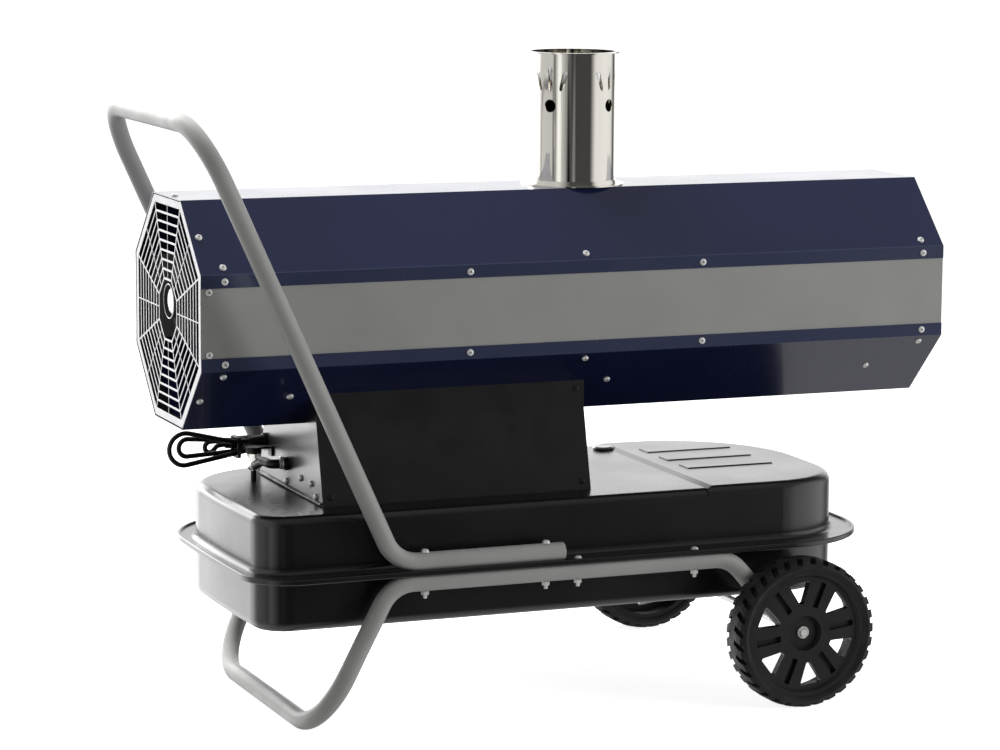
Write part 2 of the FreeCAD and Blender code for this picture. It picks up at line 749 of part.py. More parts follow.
def flue_slit(angle, top):
    # A tapered slit through the wall, narrow at its top.
    a = math.radians(angle)
    out = V(math.cos(a), math.sin(a), 0)
    side = V(-math.sin(a), math.cos(a), 0)
    centre = V(X_FLUE, 0, 0) + out * (FLUE_R / 2)
    foot = top - FLUE_SLIT_LENGTH
    half_top = side * (FLUE_SLIT_TOP_WIDTH / 2)
    half_foot = side * (FLUE_SLIT_FOOT_WIDTH / 2)
    points = [centre - half_top + UP * top, centre + half_top + UP * top,
              centre + half_foot + UP * foot, centre - half_foot + UP * foot]
    return prism(points, out * FLUE_R)


def flue_pipe():
    top = CASING_TOP + FLUE_HEIGHT
    pipe = ring(V(X_FLUE, 0, CASING_TOP), UP, FLUE_R, FLUE_R - FLUE_SHEET, FLUE_HEIGHT)
    rim = ring(V(X_FLUE, 0, top - FLUE_RIM), UP, FLUE_RIM_R, FLUE_R - FLUE_SHEET, FLUE_RIM)
    cuts = []
    for angle in FLUE_HOLE_ANGLES:
        a = math.radians(angle)
        out = V(math.cos(a), math.sin(a), 0)
        cuts.append(rod(V(X_FLUE, 0, top - FLUE_HOLE_DOWN) + out * (FLUE_R / 2), out, FLUE_HOLE_R, FLUE_R))
        for hand in (-1, 0, 1):
            cuts.append(flue_slit(angle + hand * FLUE_SLIT_SPREAD, top - FLUE_SLIT_TOP))
    return fuse([pipe, rim]).cut(cuts)


def flue_collar():
    bore = FLUE_R + FIT_GAP / 2
    profile = ((0, bore), (0, FLUE_COLLAR_R), (FLUE_COLLAR_SHEET, FLUE_COLLAR_R),
               (FLUE_COLLAR_SHEET, bore + 2 * FLUE_COLLAR_SHEET),
               (FLUE_COLLAR_UPSTAND, bore + FLUE_COLLAR_SHEET), (FLUE_COLLAR_UPSTAND, bore))
    return spun(profile, V(X_FLUE, 0, CASING_TOP), UP, AHEAD)


def outlet_ring():
    x = X_OUTLET - OUTLET_INSET - OUTLET_SHEET
    plate = Part.Face(octagon_wire(INNER_FLATS, x)).extrude(AHEAD * OUTLET_SHEET)
    rim_face = Part.makeFace([octagon_wire(INNER_FLATS, x), octagon_wire(INNER_FLATS - 2 * OUTLET_SHEET, x)],
                             "Part::FaceMakerBullseye")
    rim = rim_face.extrude(AHEAD * (OUTLET_SHEET - OUTLET_RETURN))
    collar_start = axis_point(x + OUTLET_SHEET - OUTLET_COLLAR_LENGTH)
    collar = rod(collar_start, AHEAD, OUTLET_R + OUTLET_SHEET, OUTLET_COLLAR_LENGTH)
    return fuse([plate, rim, collar]).cut(rod(collar_start, AHEAD, OUTLET_R, OUTLET_COLLAR_LENGTH))


# Fuel tank: two pressed halves with bowed ends, joined at a beaded flange

def plan_block(grow, z_low, z_high):
    # The tank's plan as an upright block, grown at its inlet end, outlet end and sides.
    inlet_grow, outlet_grow, side_grow = grow
    left = X_TANK - TANK_LENGTH / 2 - inlet_grow
    right = X_TANK + TANK_LENGTH / 2 + outlet_grow
    y = TANK_WIDTH / 2 + side_grow
    corners = [V(left, -y, z_low), V(right, -y, z_low), V(right, y, z_low), V(left, y, z_low)]
    radii = (INLET_NEAR_CORNER_R + inlet_grow, OUTLET_NEAR_CORNER_R + outlet_grow,
             OUTLET_FAR_CORNER_R + outlet_grow, INLET_FAR_CORNER_R + inlet_grow)
    outlet_bow = V(right + TANK_END_BOW, 0, z_low)
    inlet_bow = V(left - TANK_END_BOW, 0, z_low)
    edges = [Part.LineSegment(corners[0], corners[1]), Part.Arc(corners[1], outlet_bow, corners[2]),
             Part.LineSegment(corners[2], corners[3]), Part.Arc(corners[3], inlet_bow, corners[0])]
    face = Part.Face(Part.Wire([edge.toShape() for edge in edges]))
    block = face.extrude(UP * (z_high - z_low))
    for place, radius in zip(corners, radii):
        upright = [edge for edge in edges_along(block, UP)
                   if math.hypot(edge.Vertexes[0].X - place.x, edge.Vertexes[0].Y - place.y) < 1e-4]
        block = block.makeFillet(radius, upright)
    return block


def edges_at(shape, z):
    return [edge for edge in shape.Edges
            if abs(edge.BoundBox.ZMin - z) < 1e-4 and abs(edge.BoundBox.ZMax - z) < 1e-4]


def half_shell(seam, end):
    low, high = min(seam, end), max(seam, end)
    block = plan_block((0, 0, 0), low, high)
    return block.makeFillet(TANK_EDGE_R, edges_at(block, end))


def half_hollow(seam, end):
    inward = math.copysign(TANK_SHEET, seam - end)
    low, high = min(seam, end + inward), max(seam, end + inward)
    block = plan_block((-TANK_SHEET,) * 3, low, high)
    return block.makeFillet(TANK_EDGE_R - TANK_SHEET, edges_at(block, end + inward))


def flange_grow(inset):
    return INLET_FLANGE - inset, OUTLET_FLANGE - inset, SIDE_FLANGE - inset


def wall_foot(shape, z):
    # The edges where the tank's wall meets its flange.
    along = TANK_LENGTH / 2 + TANK_END_BOW + FIT_GAP
    across = TANK_WIDTH / 2 + FIT_GAP
    found = []
    for edge in edges_at(shape, z):
        room = edge.BoundBox
        reach = max(abs(room.XMin - X_TANK), abs(room.XMax - X_TANK))
        if reach < along and max(-room.YMin, room.YMax) < across:
            found.append(edge)
    return found


def bolt_places():
    long_bolts = [X_INLET + BOLT_CENTRE_FROM_INLET + offset for offset in LONG_BOLT_OFFSETS]
    short_bolts = [X_INLET + BOLT_CENTRE_FROM_INLET + offset for offset in SHORT_BOLT_OFFSETS]
    return long_bolts, short_bolts


def bolt_holes():
    holes = []
    long_bolts, short_bolts = bolt_places()
    low = LOWER_TUBE_Z - 2 * TUBE_R
    high = HANDLE_LEG_Z + 2 * TUBE_R
    for x in long_bolts + short_bolts:
        for y in (-TUBE_Y, TUBE_Y):
            holes.append(rod(V(x, y, low), UP, BOLT_R + BOLT_GAP, high - low))
    return holes


def tank_pad():
    # The outlet end of the tank's top, a step higher than the rest, with its three ribs.
    x = X_INLET + PAD_FROM_INLET
    end = X_TANK + TANK_LENGTH
    top = TANK_TOP + PAD_HEIGHT
    foot = TANK_TOP - TANK_EDGE_R
    outline = ((x, foot), (x, TANK_TOP), (x + PAD_SLOPE, top), (end, top), (end, foot))
    room = prism([V(along, -TANK_WIDTH, z) for along, z in outline], ACROSS * (2 * TANK_WIDTH))
    pieces = [half_shell(TANK_SEAM, top).common(room)]
    for i in range(RIB_COUNT):
        y = RIB_MIDDLE_Y + (i - (RIB_COUNT - 1) / 2) * RIB_SPACING
        start = X_INLET + RIB_FROM_INLET - RIB_LENGTH / 2
        half = RIB_WIDTH / 2
        rib = [V(start, y - half, top), V(start, y - half + RIB_SLOPE, top + RIB_HEIGHT),
               V(start, y + half - RIB_SLOPE, top + RIB_HEIGHT), V(start, y + half, top)]
        pieces.append(prism(rib, AHEAD * RIB_LENGTH))
    return pieces


def tank_upper():
    flange = plan_block(flange_grow(0), TANK_SEAM, TANK_SEAM + TANK_SHEET)
    low, high = TANK_SEAM - BEAD_HEIGHT / 2, TANK_SEAM + BEAD_HEIGHT / 2
    bead = plan_block(flange_grow(0), low, high)
    bead = bead.makeFillet(BEAD_ROUND, edges_at(bead, low) + edges_at(bead, high))
    bead = bead.cut(plan_block(flange_grow(BEAD_WIDTH), low, high))
    pressing = fuse([half_shell(TANK_SEAM, TANK_TOP), flange])
    pressing = pressing.makeFillet(FLANGE_COVE_R, wall_foot(pressing, TANK_SEAM + TANK_SHEET))
    whole = fuse([pressing, bead] + tank_pad())
    filler = rod(V(X_FILLER, FILLER_Y, TANK_SEAM), UP, NECK_R - NECK_SHEET, TANK_TOP)
    gauge = rod(V(X_GAUGE, GAUGE_Y, TANK_SEAM), UP, GAUGE_STEM_R + FIT_GAP, TANK_TOP)
    gauge_seat = rod(V(X_GAUGE, GAUGE_Y, TANK_TOP), UP, GAUGE_R + 2, 2 * PAD_HEIGHT)
    return whole.cut([half_hollow(TANK_SEAM, TANK_TOP), filler, gauge, gauge_seat] + bolt_holes())


def tank_lower():
    inset = BEAD_WIDTH + FIT_GAP
    flange = plan_block(flange_grow(inset), TANK_SEAM - TANK_SHEET, TANK_SEAM)
    whole = fuse([half_shell(TANK_SEAM, TANK_BOTTOM), flange])
    whole = whole.makeFillet(FLANGE_COVE_R, wall_foot(whole, TANK_SEAM - TANK_SHEET))
    drain = rod(V(X_INLET + DRAIN_FROM_INLET, 0, TANK_BOTTOM), UP, DRAIN_SHANK_R + FIT_GAP / 4, TANK_SHEET)
    return whole.cut([half_hollow(TANK_SEAM, TANK_BOTTOM), drain] + bolt_holes())


def filler_neck():
    base = V(X_FILLER, FILLER_Y, TANK_TOP)
    inner = NECK_R - NECK_SHEET
    profile = ((0, inner), (0, NECK_FLANGE_R), (NECK_FLANGE, NECK_FLANGE_R), (NECK_FLANGE, NECK_R),
               (NECK_HEIGHT, NECK_R), (NECK_HEIGHT, inner))
    return spun(profile, base, UP, AHEAD)


def fuel_cap():
    bottom = NECK_HEIGHT + CAP_LIFT - CAP_SKIRT
    base = V(X_FILLER, FILLER_Y, TANK_TOP + bottom)
    bore = NECK_R + CAP_RUNNING_GAP
    top = CAP_SKIRT + CAP_TOP
    profile = ((0, bore), (0, CAP_R), (top - 2, CAP_R), (top, CAP_R - 3), (top, 0),
               (CAP_SKIRT, 0), (CAP_SKIRT, bore))
    cap = spun(profile, base, UP, AHEAD)
    flutes = []
    for i in range(CAP_FLUTES):
        a = 2 * math.pi * i / CAP_FLUTES
        place = base + V(math.cos(a), math.sin(a), 0) * (CAP_R + CAP_FLUTE_R / 3)
        flutes.append(rod(place, UP, CAP_FLUTE_R, top))
    return cap.cut(flutes)


def fuel_gauge():
    base = V(X_GAUGE, GAUGE_Y, TANK_TOP)
    profile = ((0, 0), (0, GAUGE_R), (GAUGE_HEIGHT - 2, GAUGE_R), (GAUGE_HEIGHT, GAUGE_R - 3),
               (GAUGE_HEIGHT, 0))
    stem = rod(base - UP * GAUGE_STEM, UP, GAUGE_STEM_R, GAUGE_STEM)
    return fuse([spun(profile, base, UP, AHEAD), stem])


def drain_plug():
    base = V(X_INLET + DRAIN_FROM_INLET, 0, TANK_BOTTOM)
    head = nut_blank(base - UP * DRAIN_HEAD, DRAIN_R * 2 * math.cos(math.pi / 6), DRAIN_HEAD)
    return fuse([head, rod(base, UP, DRAIN_SHANK_R, TANK_SHEET * 3)])


# Tube frames and their bolts

def handle_frame():
    leg_end = X_INLET + LEG_END_FROM_INLET
    bend = X_INLET + HANDLE_BEND_FROM_INLET
    grip = X_INLET - GRIP_AHEAD_OF_INLET
    near = [V(leg_end, -TUBE_Y, HANDLE_LEG_Z), V(bend, -TUBE_Y, HANDLE_LEG_Z), V(grip, -TUBE_Y, GRIP_HEIGHT)]
    points = near + [V(p.x, -p.y, p.z) for p in reversed(near)]
    tube = bent_tube(points, [LEG_BEND_R, CORNER_BEND_R, CORNER_BEND_R, LEG_BEND_R], TUBE_R, TUBE_WALL)
    return tube.cut(bolt_holes())


def lower_frame():
    rear = V(X_INLET + REAR_BEND_FROM_INLET, -TUBE_Y, LOWER_TUBE_Z)
    axle = V(X_AXLE, -TUBE_Y, WHEEL_R)
    near = [axle + unit(axle - rear) * TUBE_PAST_AXLE, rear,
            V(X_INLET + FRONT_BEND_FROM_INLET, -TUBE_Y, LOWER_TUBE_Z),
            V(X_INLET + FOOT_FROM_INLET, -TUBE_Y, TUBE_R)]
    points = near + [V(p.x, -p.y, p.z) for p in reversed(near)]
    bends = [LEG_BEND_R, LEG_BEND_R, CORNER_BEND_R]
    tube = bent_tube(points, bends + bends[::-1], TUBE_R, TUBE_WALL)
    axle_hole = rod(V(X_AXLE, -TUBE_Y * 2, WHEEL_R), ACROSS, AXLE_R + FIT_GAP / 2, TUBE_Y * 4)
    return tube.cut(bolt_holes() + [axle_hole])


def nut_blank(base, flats, height):
    points = []
    for i in range(6):
        a = math.pi / 3 * i
        points.append(base + V(math.cos(a), math.sin(a), 0) * (flats / 2 / math.cos(math.pi / 6)))
    return prism(points, UP * height)


def frame_bolts():
    long_bolts, short_bolts = bolt_places()
    end = LOWER_TUBE_Z - TUBE_R - NUT_HEIGHT - BOLT_PAST_NUT
    bolts = []
    for places, seat in ((long_bolts, HANDLE_LEG_Z + TUBE_R), (short_bolts, TANK_SEAM + TANK_SHEET)):
        for x in places:
            for y in (-TUBE_Y, TUBE_Y):
                head = rod(V(x, y, seat), UP, BOLT_HEAD_R, BOLT_HEAD)
                bolts.append(fuse([head, rod(V(x, y, end), UP, BOLT_R, seat - end)]))
    return Part.makeCompound(bolts)


def frame_nuts():
    long_bolts, short_bolts = bolt_places()
    base = LOWER_TUBE_Z - TUBE_R - NUT_HEIGHT
    nuts = []
    for x in long_bolts + short_bolts:
        for y in (-TUBE_Y, TUBE_Y):
            bore = rod(V(x, y, base), UP, BOLT_R + FIT_GAP / 4, NUT_HEIGHT)
            nuts.append(nut_blank(V(x, y, base), NUT_FLATS, NUT_HEIGHT).cut(bore))
    return Part.makeCompound(nuts)


# Axle and wheels, made for the near side and mirrored for the far side

def wheel_point(out):
    return V(X_AXLE, -(WHEEL_INNER + out), WHEEL_R)


def axle():
    reach = WHEEL_INNER + HUB_LENGTH + PUSH_NUT + AXLE_PAST_NUT
    return rod(V(X_AXLE, -reach, WHEEL_R), ACROSS, AXLE_R, 2 * reach)


def axle_washers():
    start = wheel_point(-WHEEL_STANDOFF)
    washer = ring(start, OUTBOARD, WASHER_R, AXLE_R + FIT_GAP / 4, WASHER)
    return Part.makeCompound([washer, mirrored(washer)])


def axle_push_nuts():
    start = wheel_point(HUB_LENGTH + FIT_GAP)
    bore = AXLE_R + FIT_GAP / 4
    profile = ((0, bore), (0, PUSH_NUT_R), (PUSH_NUT - 1.2, PUSH_NUT_R), (PUSH_NUT, PUSH_NUT_R - 1.5),
               (PUSH_NUT, bore))
    nut = spun(profile, start, OUTBOARD, UP)
    return Part.makeCompound([nut, mirrored(nut)])


def wheel_rim():
    bore = AXLE_R + AXLE_RUNNING_GAP
    inner = RIM_R - RIM_BARREL
    back = WEB_FRONT - WEB_THICK
    far = WHEEL_WIDTH - RIM_SIDE
    profile = ((0, bore), (0, HUB_R), (back, HUB_R), (back, inner), (RIM_SIDE, inner), (RIM_SIDE, RIM_R),
               (far, RIM_R), (far, inner + 1), (WEB_FRONT, inner - 2), (WEB_FRONT, CUP_R),
               (HUB_LENGTH, CUP_R - 2), (HUB_LENGTH, bore))
    rim = spun(profile, wheel_point(0), OUTBOARD, UP)
    cuts = []
    for i in range(WINDOWS):
        window = (V(WINDOW_OUTER, 0, WINDOW_OUTER_HALF), V(WINDOW_OUTER, 0, -WINDOW_OUTER_HALF),
                  V(WINDOW_INNER, 0, -WINDOW_INNER_HALF), V(WINDOW_INNER, 0, WINDOW_INNER_HALF))
        points = [wheel_point(back - 1) + corner for corner in window]
        cutter = prism(points, OUTBOARD * (WEB_THICK + 2))
        cutter = cutter.makeFillet(WINDOW_ROUND - 0.2, edges_along(cutter, ACROSS))
        cutter.rotate(wheel_point(0), ACROSS, -(WINDOW_START + 360.0 / WINDOWS * i))
        cuts.append(cutter)
        low = wheel_point(WEB_FRONT + 1) + V(GROOVE_INNER, 0, -GROOVE_WIDTH / 2)
        high = wheel_point(WEB_FRONT - GROOVE_DEPTH) + V(GROOVE_OUTER, 0, GROOVE_WIDTH / 2)
        groove = box((low.x, low.y, low.z), (high.x, high.y, high.z))
        groove.rotate(wheel_point(0), ACROSS, -(WINDOW_START + 360.0 / WINDOWS * (i + 0.5)))
        cuts.append(groove)
    return rim.cut(cuts)


def wheel_tyre():
    far = WHEEL_WIDTH
    side = RIM_SIDE
    profile = [(side, RIM_R), (1.0, RIM_R + 3), (0.0, RIM_R + 7),
               (SHOULDER, WHEEL_R - 1.6), (SHOULDER * 3, WHEEL_R)]
    profile += [(far - along, radius) for along, radius in reversed(profile)]
    tyre = spun(profile, wheel_point(0), OUTBOARD, UP)
    notches = []
    pitch = 360.0 / TREAD_LUGS
    for i in range(TREAD_LUGS):
        for start, slant, phase in ((-1.0, TREAD_SLANT, 0.0), (far - TREAD_REACH + 1.0, -TREAD_SLANT, 0.5)):
            low = wheel_point(start + TREAD_REACH) + V(WHEEL_R - TREAD_DEPTH, 0, -TREAD_NOTCH / 2)
            notch = Part.makeBox(2 * TREAD_DEPTH, TREAD_REACH, TREAD_NOTCH, low)
            notch.rotate(wheel_point(start + TREAD_REACH / 2), AHEAD, slant)
            notch.rotate(wheel_point(0), ACROSS, (i + phase) * pitch)
            notches.append(notch)
    return tyre.cut(notches)


# Burner housing of folded sheet between the tank and the casing

def casing_underside(y):
    return AXIS_HEIGHT - HALF * (1 + OCT) + abs(y)


def housing_cover_near():
    inner_foot = HOUSING_HALF_FOOT - HOUSING_SHEET
    inner_top = HOUSING_HALF_TOP - HOUSING_SHEET
    outline = ((-HOUSING_HALF_FOOT, TANK_TOP), (-HOUSING_HALF_TOP, FOLD_HEIGHT),
               (-HOUSING_HALF_TOP, casing_underside(HOUSING_HALF_TOP)),
               (-inner_top, casing_underside(inner_top)), (-inner_top, FOLD_HEIGHT), (-inner_foot, TANK_TOP))
    return prism([V(X_HOUSING, y, z) for y, z in outline], AHEAD * HOUSING_LENGTH)


def housing_base():
    half = HOUSING_HALF_FOOT - HOUSING_SHEET * 2 - FIT_GAP
    return box((X_HOUSING, -half, TANK_TOP), (X_HOUSING_END, half, HOUSING_FLOOR))


def housing_end(x):
    foot = HOUSING_HALF_FOOT - HOUSING_SHEET - COVER_LEAN * HOUSING_SHEET
    top = HOUSING_HALF_TOP - HOUSING_SHEET
    side = [(foot, HOUSING_FLOOR), (top, FOLD_HEIGHT), (top, casing_underside(top)),
            (HALF * OCT, AXIS_HEIGHT - HALF)]
    outline = side + [(-y, z) for y, z in reversed(side)]
    return prism([V(x, y, z) for y, z in outline], AHEAD * HOUSING_SHEET)


def housing_end_inlet():
    cord_hole = rod(V(X_HOUSING, CORD_Y, CORD_Z), AHEAD, GLAND_SHANK_R + FIT_GAP / 4, HOUSING_SHEET)
    hose_hole = rod(V(X_HOUSING, HOSE_END_Y, HOSE_END_Z), AHEAD, HOSE_R + 1 + FIT_GAP / 4, HOUSING_SHEET)
    return housing_end(X_HOUSING).cut([cord_hole, hose_hole])


def housing_end_outlet():
    return housing_end(X_HOUSING_END - HOUSING_SHEET)


def housing_screws():
    heads = []
    for x in (X_HOUSING + COVER_SCREW_INSET, X_HOUSING_END - COVER_SCREW_INSET):
        for hand in (-1, 1):
            upper = V(x, hand * HOUSING_HALF_TOP, casing_underside(HOUSING_HALF_TOP) - COVER_SCREW_INSET)
            heads.append(rod(upper, V(0, hand, 0), COVER_SCREW_R, COVER_SCREW_HEAD))
            out = V(0, hand * FACE_OUT.y, FACE_OUT.z)
            up_slope = V(0, -hand * FACE_OUT.z, FACE_OUT.y)
            lower = V(x, hand * HOUSING_HALF_FOOT, TANK_TOP) + up_slope * COVER_SCREW_INSET
            heads.append(rod(lower, out, COVER_SCREW_R, COVER_SCREW_HEAD))
    for y, up in PLATE_SCREWS:
        heads.append(rod(V(X_HOUSING, y, HOUSING_FLOOR + up), V(-1, 0, 0), COVER_SCREW_R, COVER_SCREW_HEAD))
    return Part.makeCompound(heads)


# Controls on the far cover

def panel_point(along, out):
    slope = V(0, -FACE_OUT.z, FACE_OUT.y)
    return V(X_HOUSING + along, HOUSING_HALF_FOOT, TANK_TOP) + slope * CONTROL_UP + FACE_OUT * out


def panel_spun(along, profile):
    return spun(profile, panel_point(along, 0), FACE_OUT, AHEAD)


def control_panel():
    deep = 4 * HOUSING_SHEET
    sizes = ((KNOB_ALONG, SPINDLE_R + SHAFT_RUNNING_GAP), (RESET_ALONG, RESET_R + RESET_GAP),
             (LAMP_ALONG, LAMP_R + FIT_GAP / 4), (SOCKET_ALONG, SOCKET_R + FIT_GAP / 4))
    holes = [rod(panel_point(along, -deep), FACE_OUT, radius, 2 * deep) for along, radius in sizes]
    return mirrored(housing_cover_near()).cut(holes)


def switch_knob():
    skirt = KNOB_HEIGHT * 0.4
    profile = ((-SPINDLE_LENGTH, 0), (-SPINDLE_LENGTH, SPINDLE_R), (KNOB_GAP, SPINDLE_R), (KNOB_GAP, KNOB_R),
               (skirt - 1.5, KNOB_R), (skirt, KNOB_R - 1.5), (skirt, 0))
    slope = V(0, -FACE_OUT.z, FACE_OUT.y)
    corner = panel_point(KNOB_ALONG, skirt - 1) - AHEAD * (KNOB_GRIP / 2) - slope * (KNOB_R - 2)
    base = [corner, corner + AHEAD * KNOB_GRIP, corner + AHEAD * KNOB_GRIP + slope * (2 * KNOB_R - 4),
            corner + slope * (2 * KNOB_R - 4)]
    return fuse([panel_spun(KNOB_ALONG, profile), prism(base, FACE_OUT * (KNOB_HEIGHT - skirt + 1))])


def reset_button():
    back = -HOUSING_SHEET - FIT_GAP
    profile = ((back - RESET_STEM, 0), (back - RESET_STEM, RESET_R / 2), (back - RESET_COLLAR, RESET_R / 2),
               (back - RESET_COLLAR, RESET_COLLAR_R), (back, RESET_COLLAR_R), (back, RESET_R),
               (RESET_OUT - 1, RESET_R), (RESET_OUT, RESET_R - 1), (RESET_OUT, 0))
    return panel_spun(RESET_ALONG, profile)


def indicator_lamp():
    back = -4 * HOUSING_SHEET
    profile = ((back, 0), (back, LAMP_R), (0, LAMP_R), (0, LAMP_BEZEL_R), (1.5, LAMP_BEZEL_R), (2.0, LAMP_R),
               (LAMP_DOME, LAMP_R * 0.6), (LAMP_DOME + 1, 0))
    return panel_spun(LAMP_ALONG, profile)


def thermostat_socket():
    back = -12 * HOUSING_SHEET
    profile = ((back, 0), (back, SOCKET_R), (0, SOCKET_R), (0, SOCKET_FLANGE_R),
               (SOCKET_FLANGE, SOCKET_FLANGE_R), (SOCKET_FLANGE, SOCKET_R),
               (SOCKET_OUT - 3, SOCKET_R), (SOCKET_OUT - 3, SOCKET_R + 2),
               (SOCKET_OUT - 1, SOCKET_R + 2), (SOCKET_OUT, SOCKET_R), (SOCKET_OUT, 0))
    return panel_spun(SOCKET_ALONG, profile)


# Electrical parts and fuel pump on the housing floor

def floor_block(size, along, y):
    length, width, height = size
    x = X_HOUSING + along
    return box((x - length / 2, y - width / 2, HOUSING_FLOOR),
               (x + length / 2, y + width / 2, HOUSING_FLOOR + height))


def ignition_transformer():
    block = floor_block(TRANSFORMER, TRANSFORMER_ALONG, TRANSFORMER_Y)
    block = block.makeFillet(TRANSFORMER_ROUND, edges_along(block, UP))
    top = HOUSING_FLOOR + TRANSFORMER[2]
    posts = []
    for hand in (-1, 1):
        foot = V(X_HOUSING + TRANSFORMER_ALONG + hand * POST_OFFSET, TRANSFORMER_Y, top)
        posts.append(rod(foot, UP, POST_R, POST_HEIGHT))
    return fuse([block] + posts)


def control_box():
    length, width, height = CONTROL_BOX
    base = floor_block((length, width, height / 3), CONTROL_BOX_ALONG, CONTROL_BOX_Y)
    ledges = 2 * CONTROL_BOX_LEDGE
    lid = floor_block((length - ledges, width - ledges, height), CONTROL_BOX_ALONG, CONTROL_BOX_Y)
    lid = lid.makeFillet(CONTROL_BOX_ROUND, edges_along(lid, UP))
    return fuse([base, lid])


def fuel_pump():
    foot = floor_block(PUMP_BASE, PUMP_ALONG, PUMP_Y)
    centre = V(X_HOUSING + PUMP_ALONG, PUMP_Y, HOUSING_FLOOR + PUMP_BASE[2])
    profile = ((0, 0), (0, PUMP_R), (PUMP_HEIGHT * 0.6, PUMP_R), (PUMP_HEIGHT * 0.7, PUMP_R * 0.6),
               (PUMP_HEIGHT * 0.85, PUMP_R * 0.6), (PUMP_HEIGHT * 0.85, PUMP_PORT_R),
               (PUMP_HEIGHT, PUMP_PORT_R), (PUMP_HEIGHT, 0))
    return fuse([foot, spun(profile, centre, UP, AHEAD)])


# Fuel filter and hoses

def filter_point(z):
    return V(X_HOUSING - FILTER_OFF_PLATE, FILTER_Y, z)


def fuel_filter_bowl():
    profile = ((0, 0), (0, BOWL_R - 3), (3, BOWL_R), (BOWL_HEIGHT, BOWL_R), (BOWL_HEIGHT, BOWL_R - 1.5),
               (4, BOWL_R - 1.5), (2, 0))
    return spun(profile, filter_point(BOWL_BOTTOM), UP, AHEAD)


def fuel_filter_head():
    base = BOWL_BOTTOM + BOWL_HEIGHT
    head = rod(filter_point(base), UP, FILTER_HEAD_R, FILTER_HEAD)
    top = base + FILTER_HEAD
    x = X_HOUSING - FILTER_OFF_PLATE
    low_y = FILTER_Y - FILTER_TAB_WIDTH / 2
    high_y = FILTER_Y + FILTER_TAB_WIDTH / 2
    tab = box((x, low_y, top - FILTER_TAB), (X_HOUSING, high_y, top))
    foot = box((X_HOUSING - FILTER_TAB, low_y, top - FILTER_TAB_WIDTH), (X_HOUSING, high_y, top))
    return fuse([head, tab, foot])


def hose_gland():
    start = V(X_HOUSING, HOSE_END_Y, HOSE_END_Z)
    nose = rod(start, V(-1, 0, 0), GLAND_HOSE_R, GLAND_HOSE_LENGTH)
    shank = rod(start, AHEAD, HOSE_R + 1, HOUSING_SHEET * 4)
    return fuse([nose, shank])


def fuel_hose():
    low = filter_point(BOWL_BOTTOM + HOSE_RISE_FROM_BOWL)
    x_end = X_HOUSING - GLAND_HOSE_LENGTH
    outlet = [V(low.x, FILTER_Y - BOWL_R, low.z), V(low.x, HOSE_END_Y + 2 * HOSE_BEND_R, HOSE_END_Z),
              V(low.x + 4, HOSE_END_Y, HOSE_END_Z), V(x_end, HOSE_END_Y, HOSE_END_Z)]
    wire = bent_wire(outlet, [HOSE_BEND_R * 2, HOSE_BEND_R * 0.6])
    onward = swept(wire, outlet[0], outlet[1] - outlet[0], HOSE_R)
    suction = rod(filter_point(TANK_TOP), UP, SUCTION_R, BOWL_BOTTOM - TANK_TOP)
    return Part.makeCompound([onward.cut(fuel_bowl_room()), suction])


def fuel_bowl_room():
    return rod(filter_point(BOWL_BOTTOM), UP, BOWL_R + FIT_GAP / 4, BOWL_HEIGHT)


# Mains lead with its hank

def cord_gland():
    start = V(X_HOUSING, CORD_Y, CORD_Z)
    profile = ((-4 * HOUSING_SHEET, 0), (-4 * HOUSING_SHEET, GLAND_SHANK_R), (0, GLAND_SHANK_R), (0, GLAND_R),
               (GLAND_NUT, GLAND_R), (GLAND_NUT, GLAND_R * 0.75),
               (GLAND_LENGTH, GLAND_TIP_R), (GLAND_LENGTH, 0))
    return spun(profile, start, V(-1, 0, 0), UP)


def lead_start():
    return V(X_HOUSING - GLAND_LENGTH, CORD_Y, CORD_Z)


def cord_lead():
    return rod(lead_start(), V(-1, 0, 0), CORD_R, LEAD_LENGTH)


def tangent_normals(left, left_r, right, right_r):
    # Normals, in the XZ plane, of the two straight runs that touch both circles.
    between = left - right
    reach = between.Length
    along = between * (1.0 / reach)
    across = V(-along.z, 0, along.x)
    if across.z < 0:
        across = across * -1
    lean = (right_r - left_r) / reach
    rise = math.sqrt(1 - lean * lean)
    return along * lean + across * rise, along * lean - across * rise


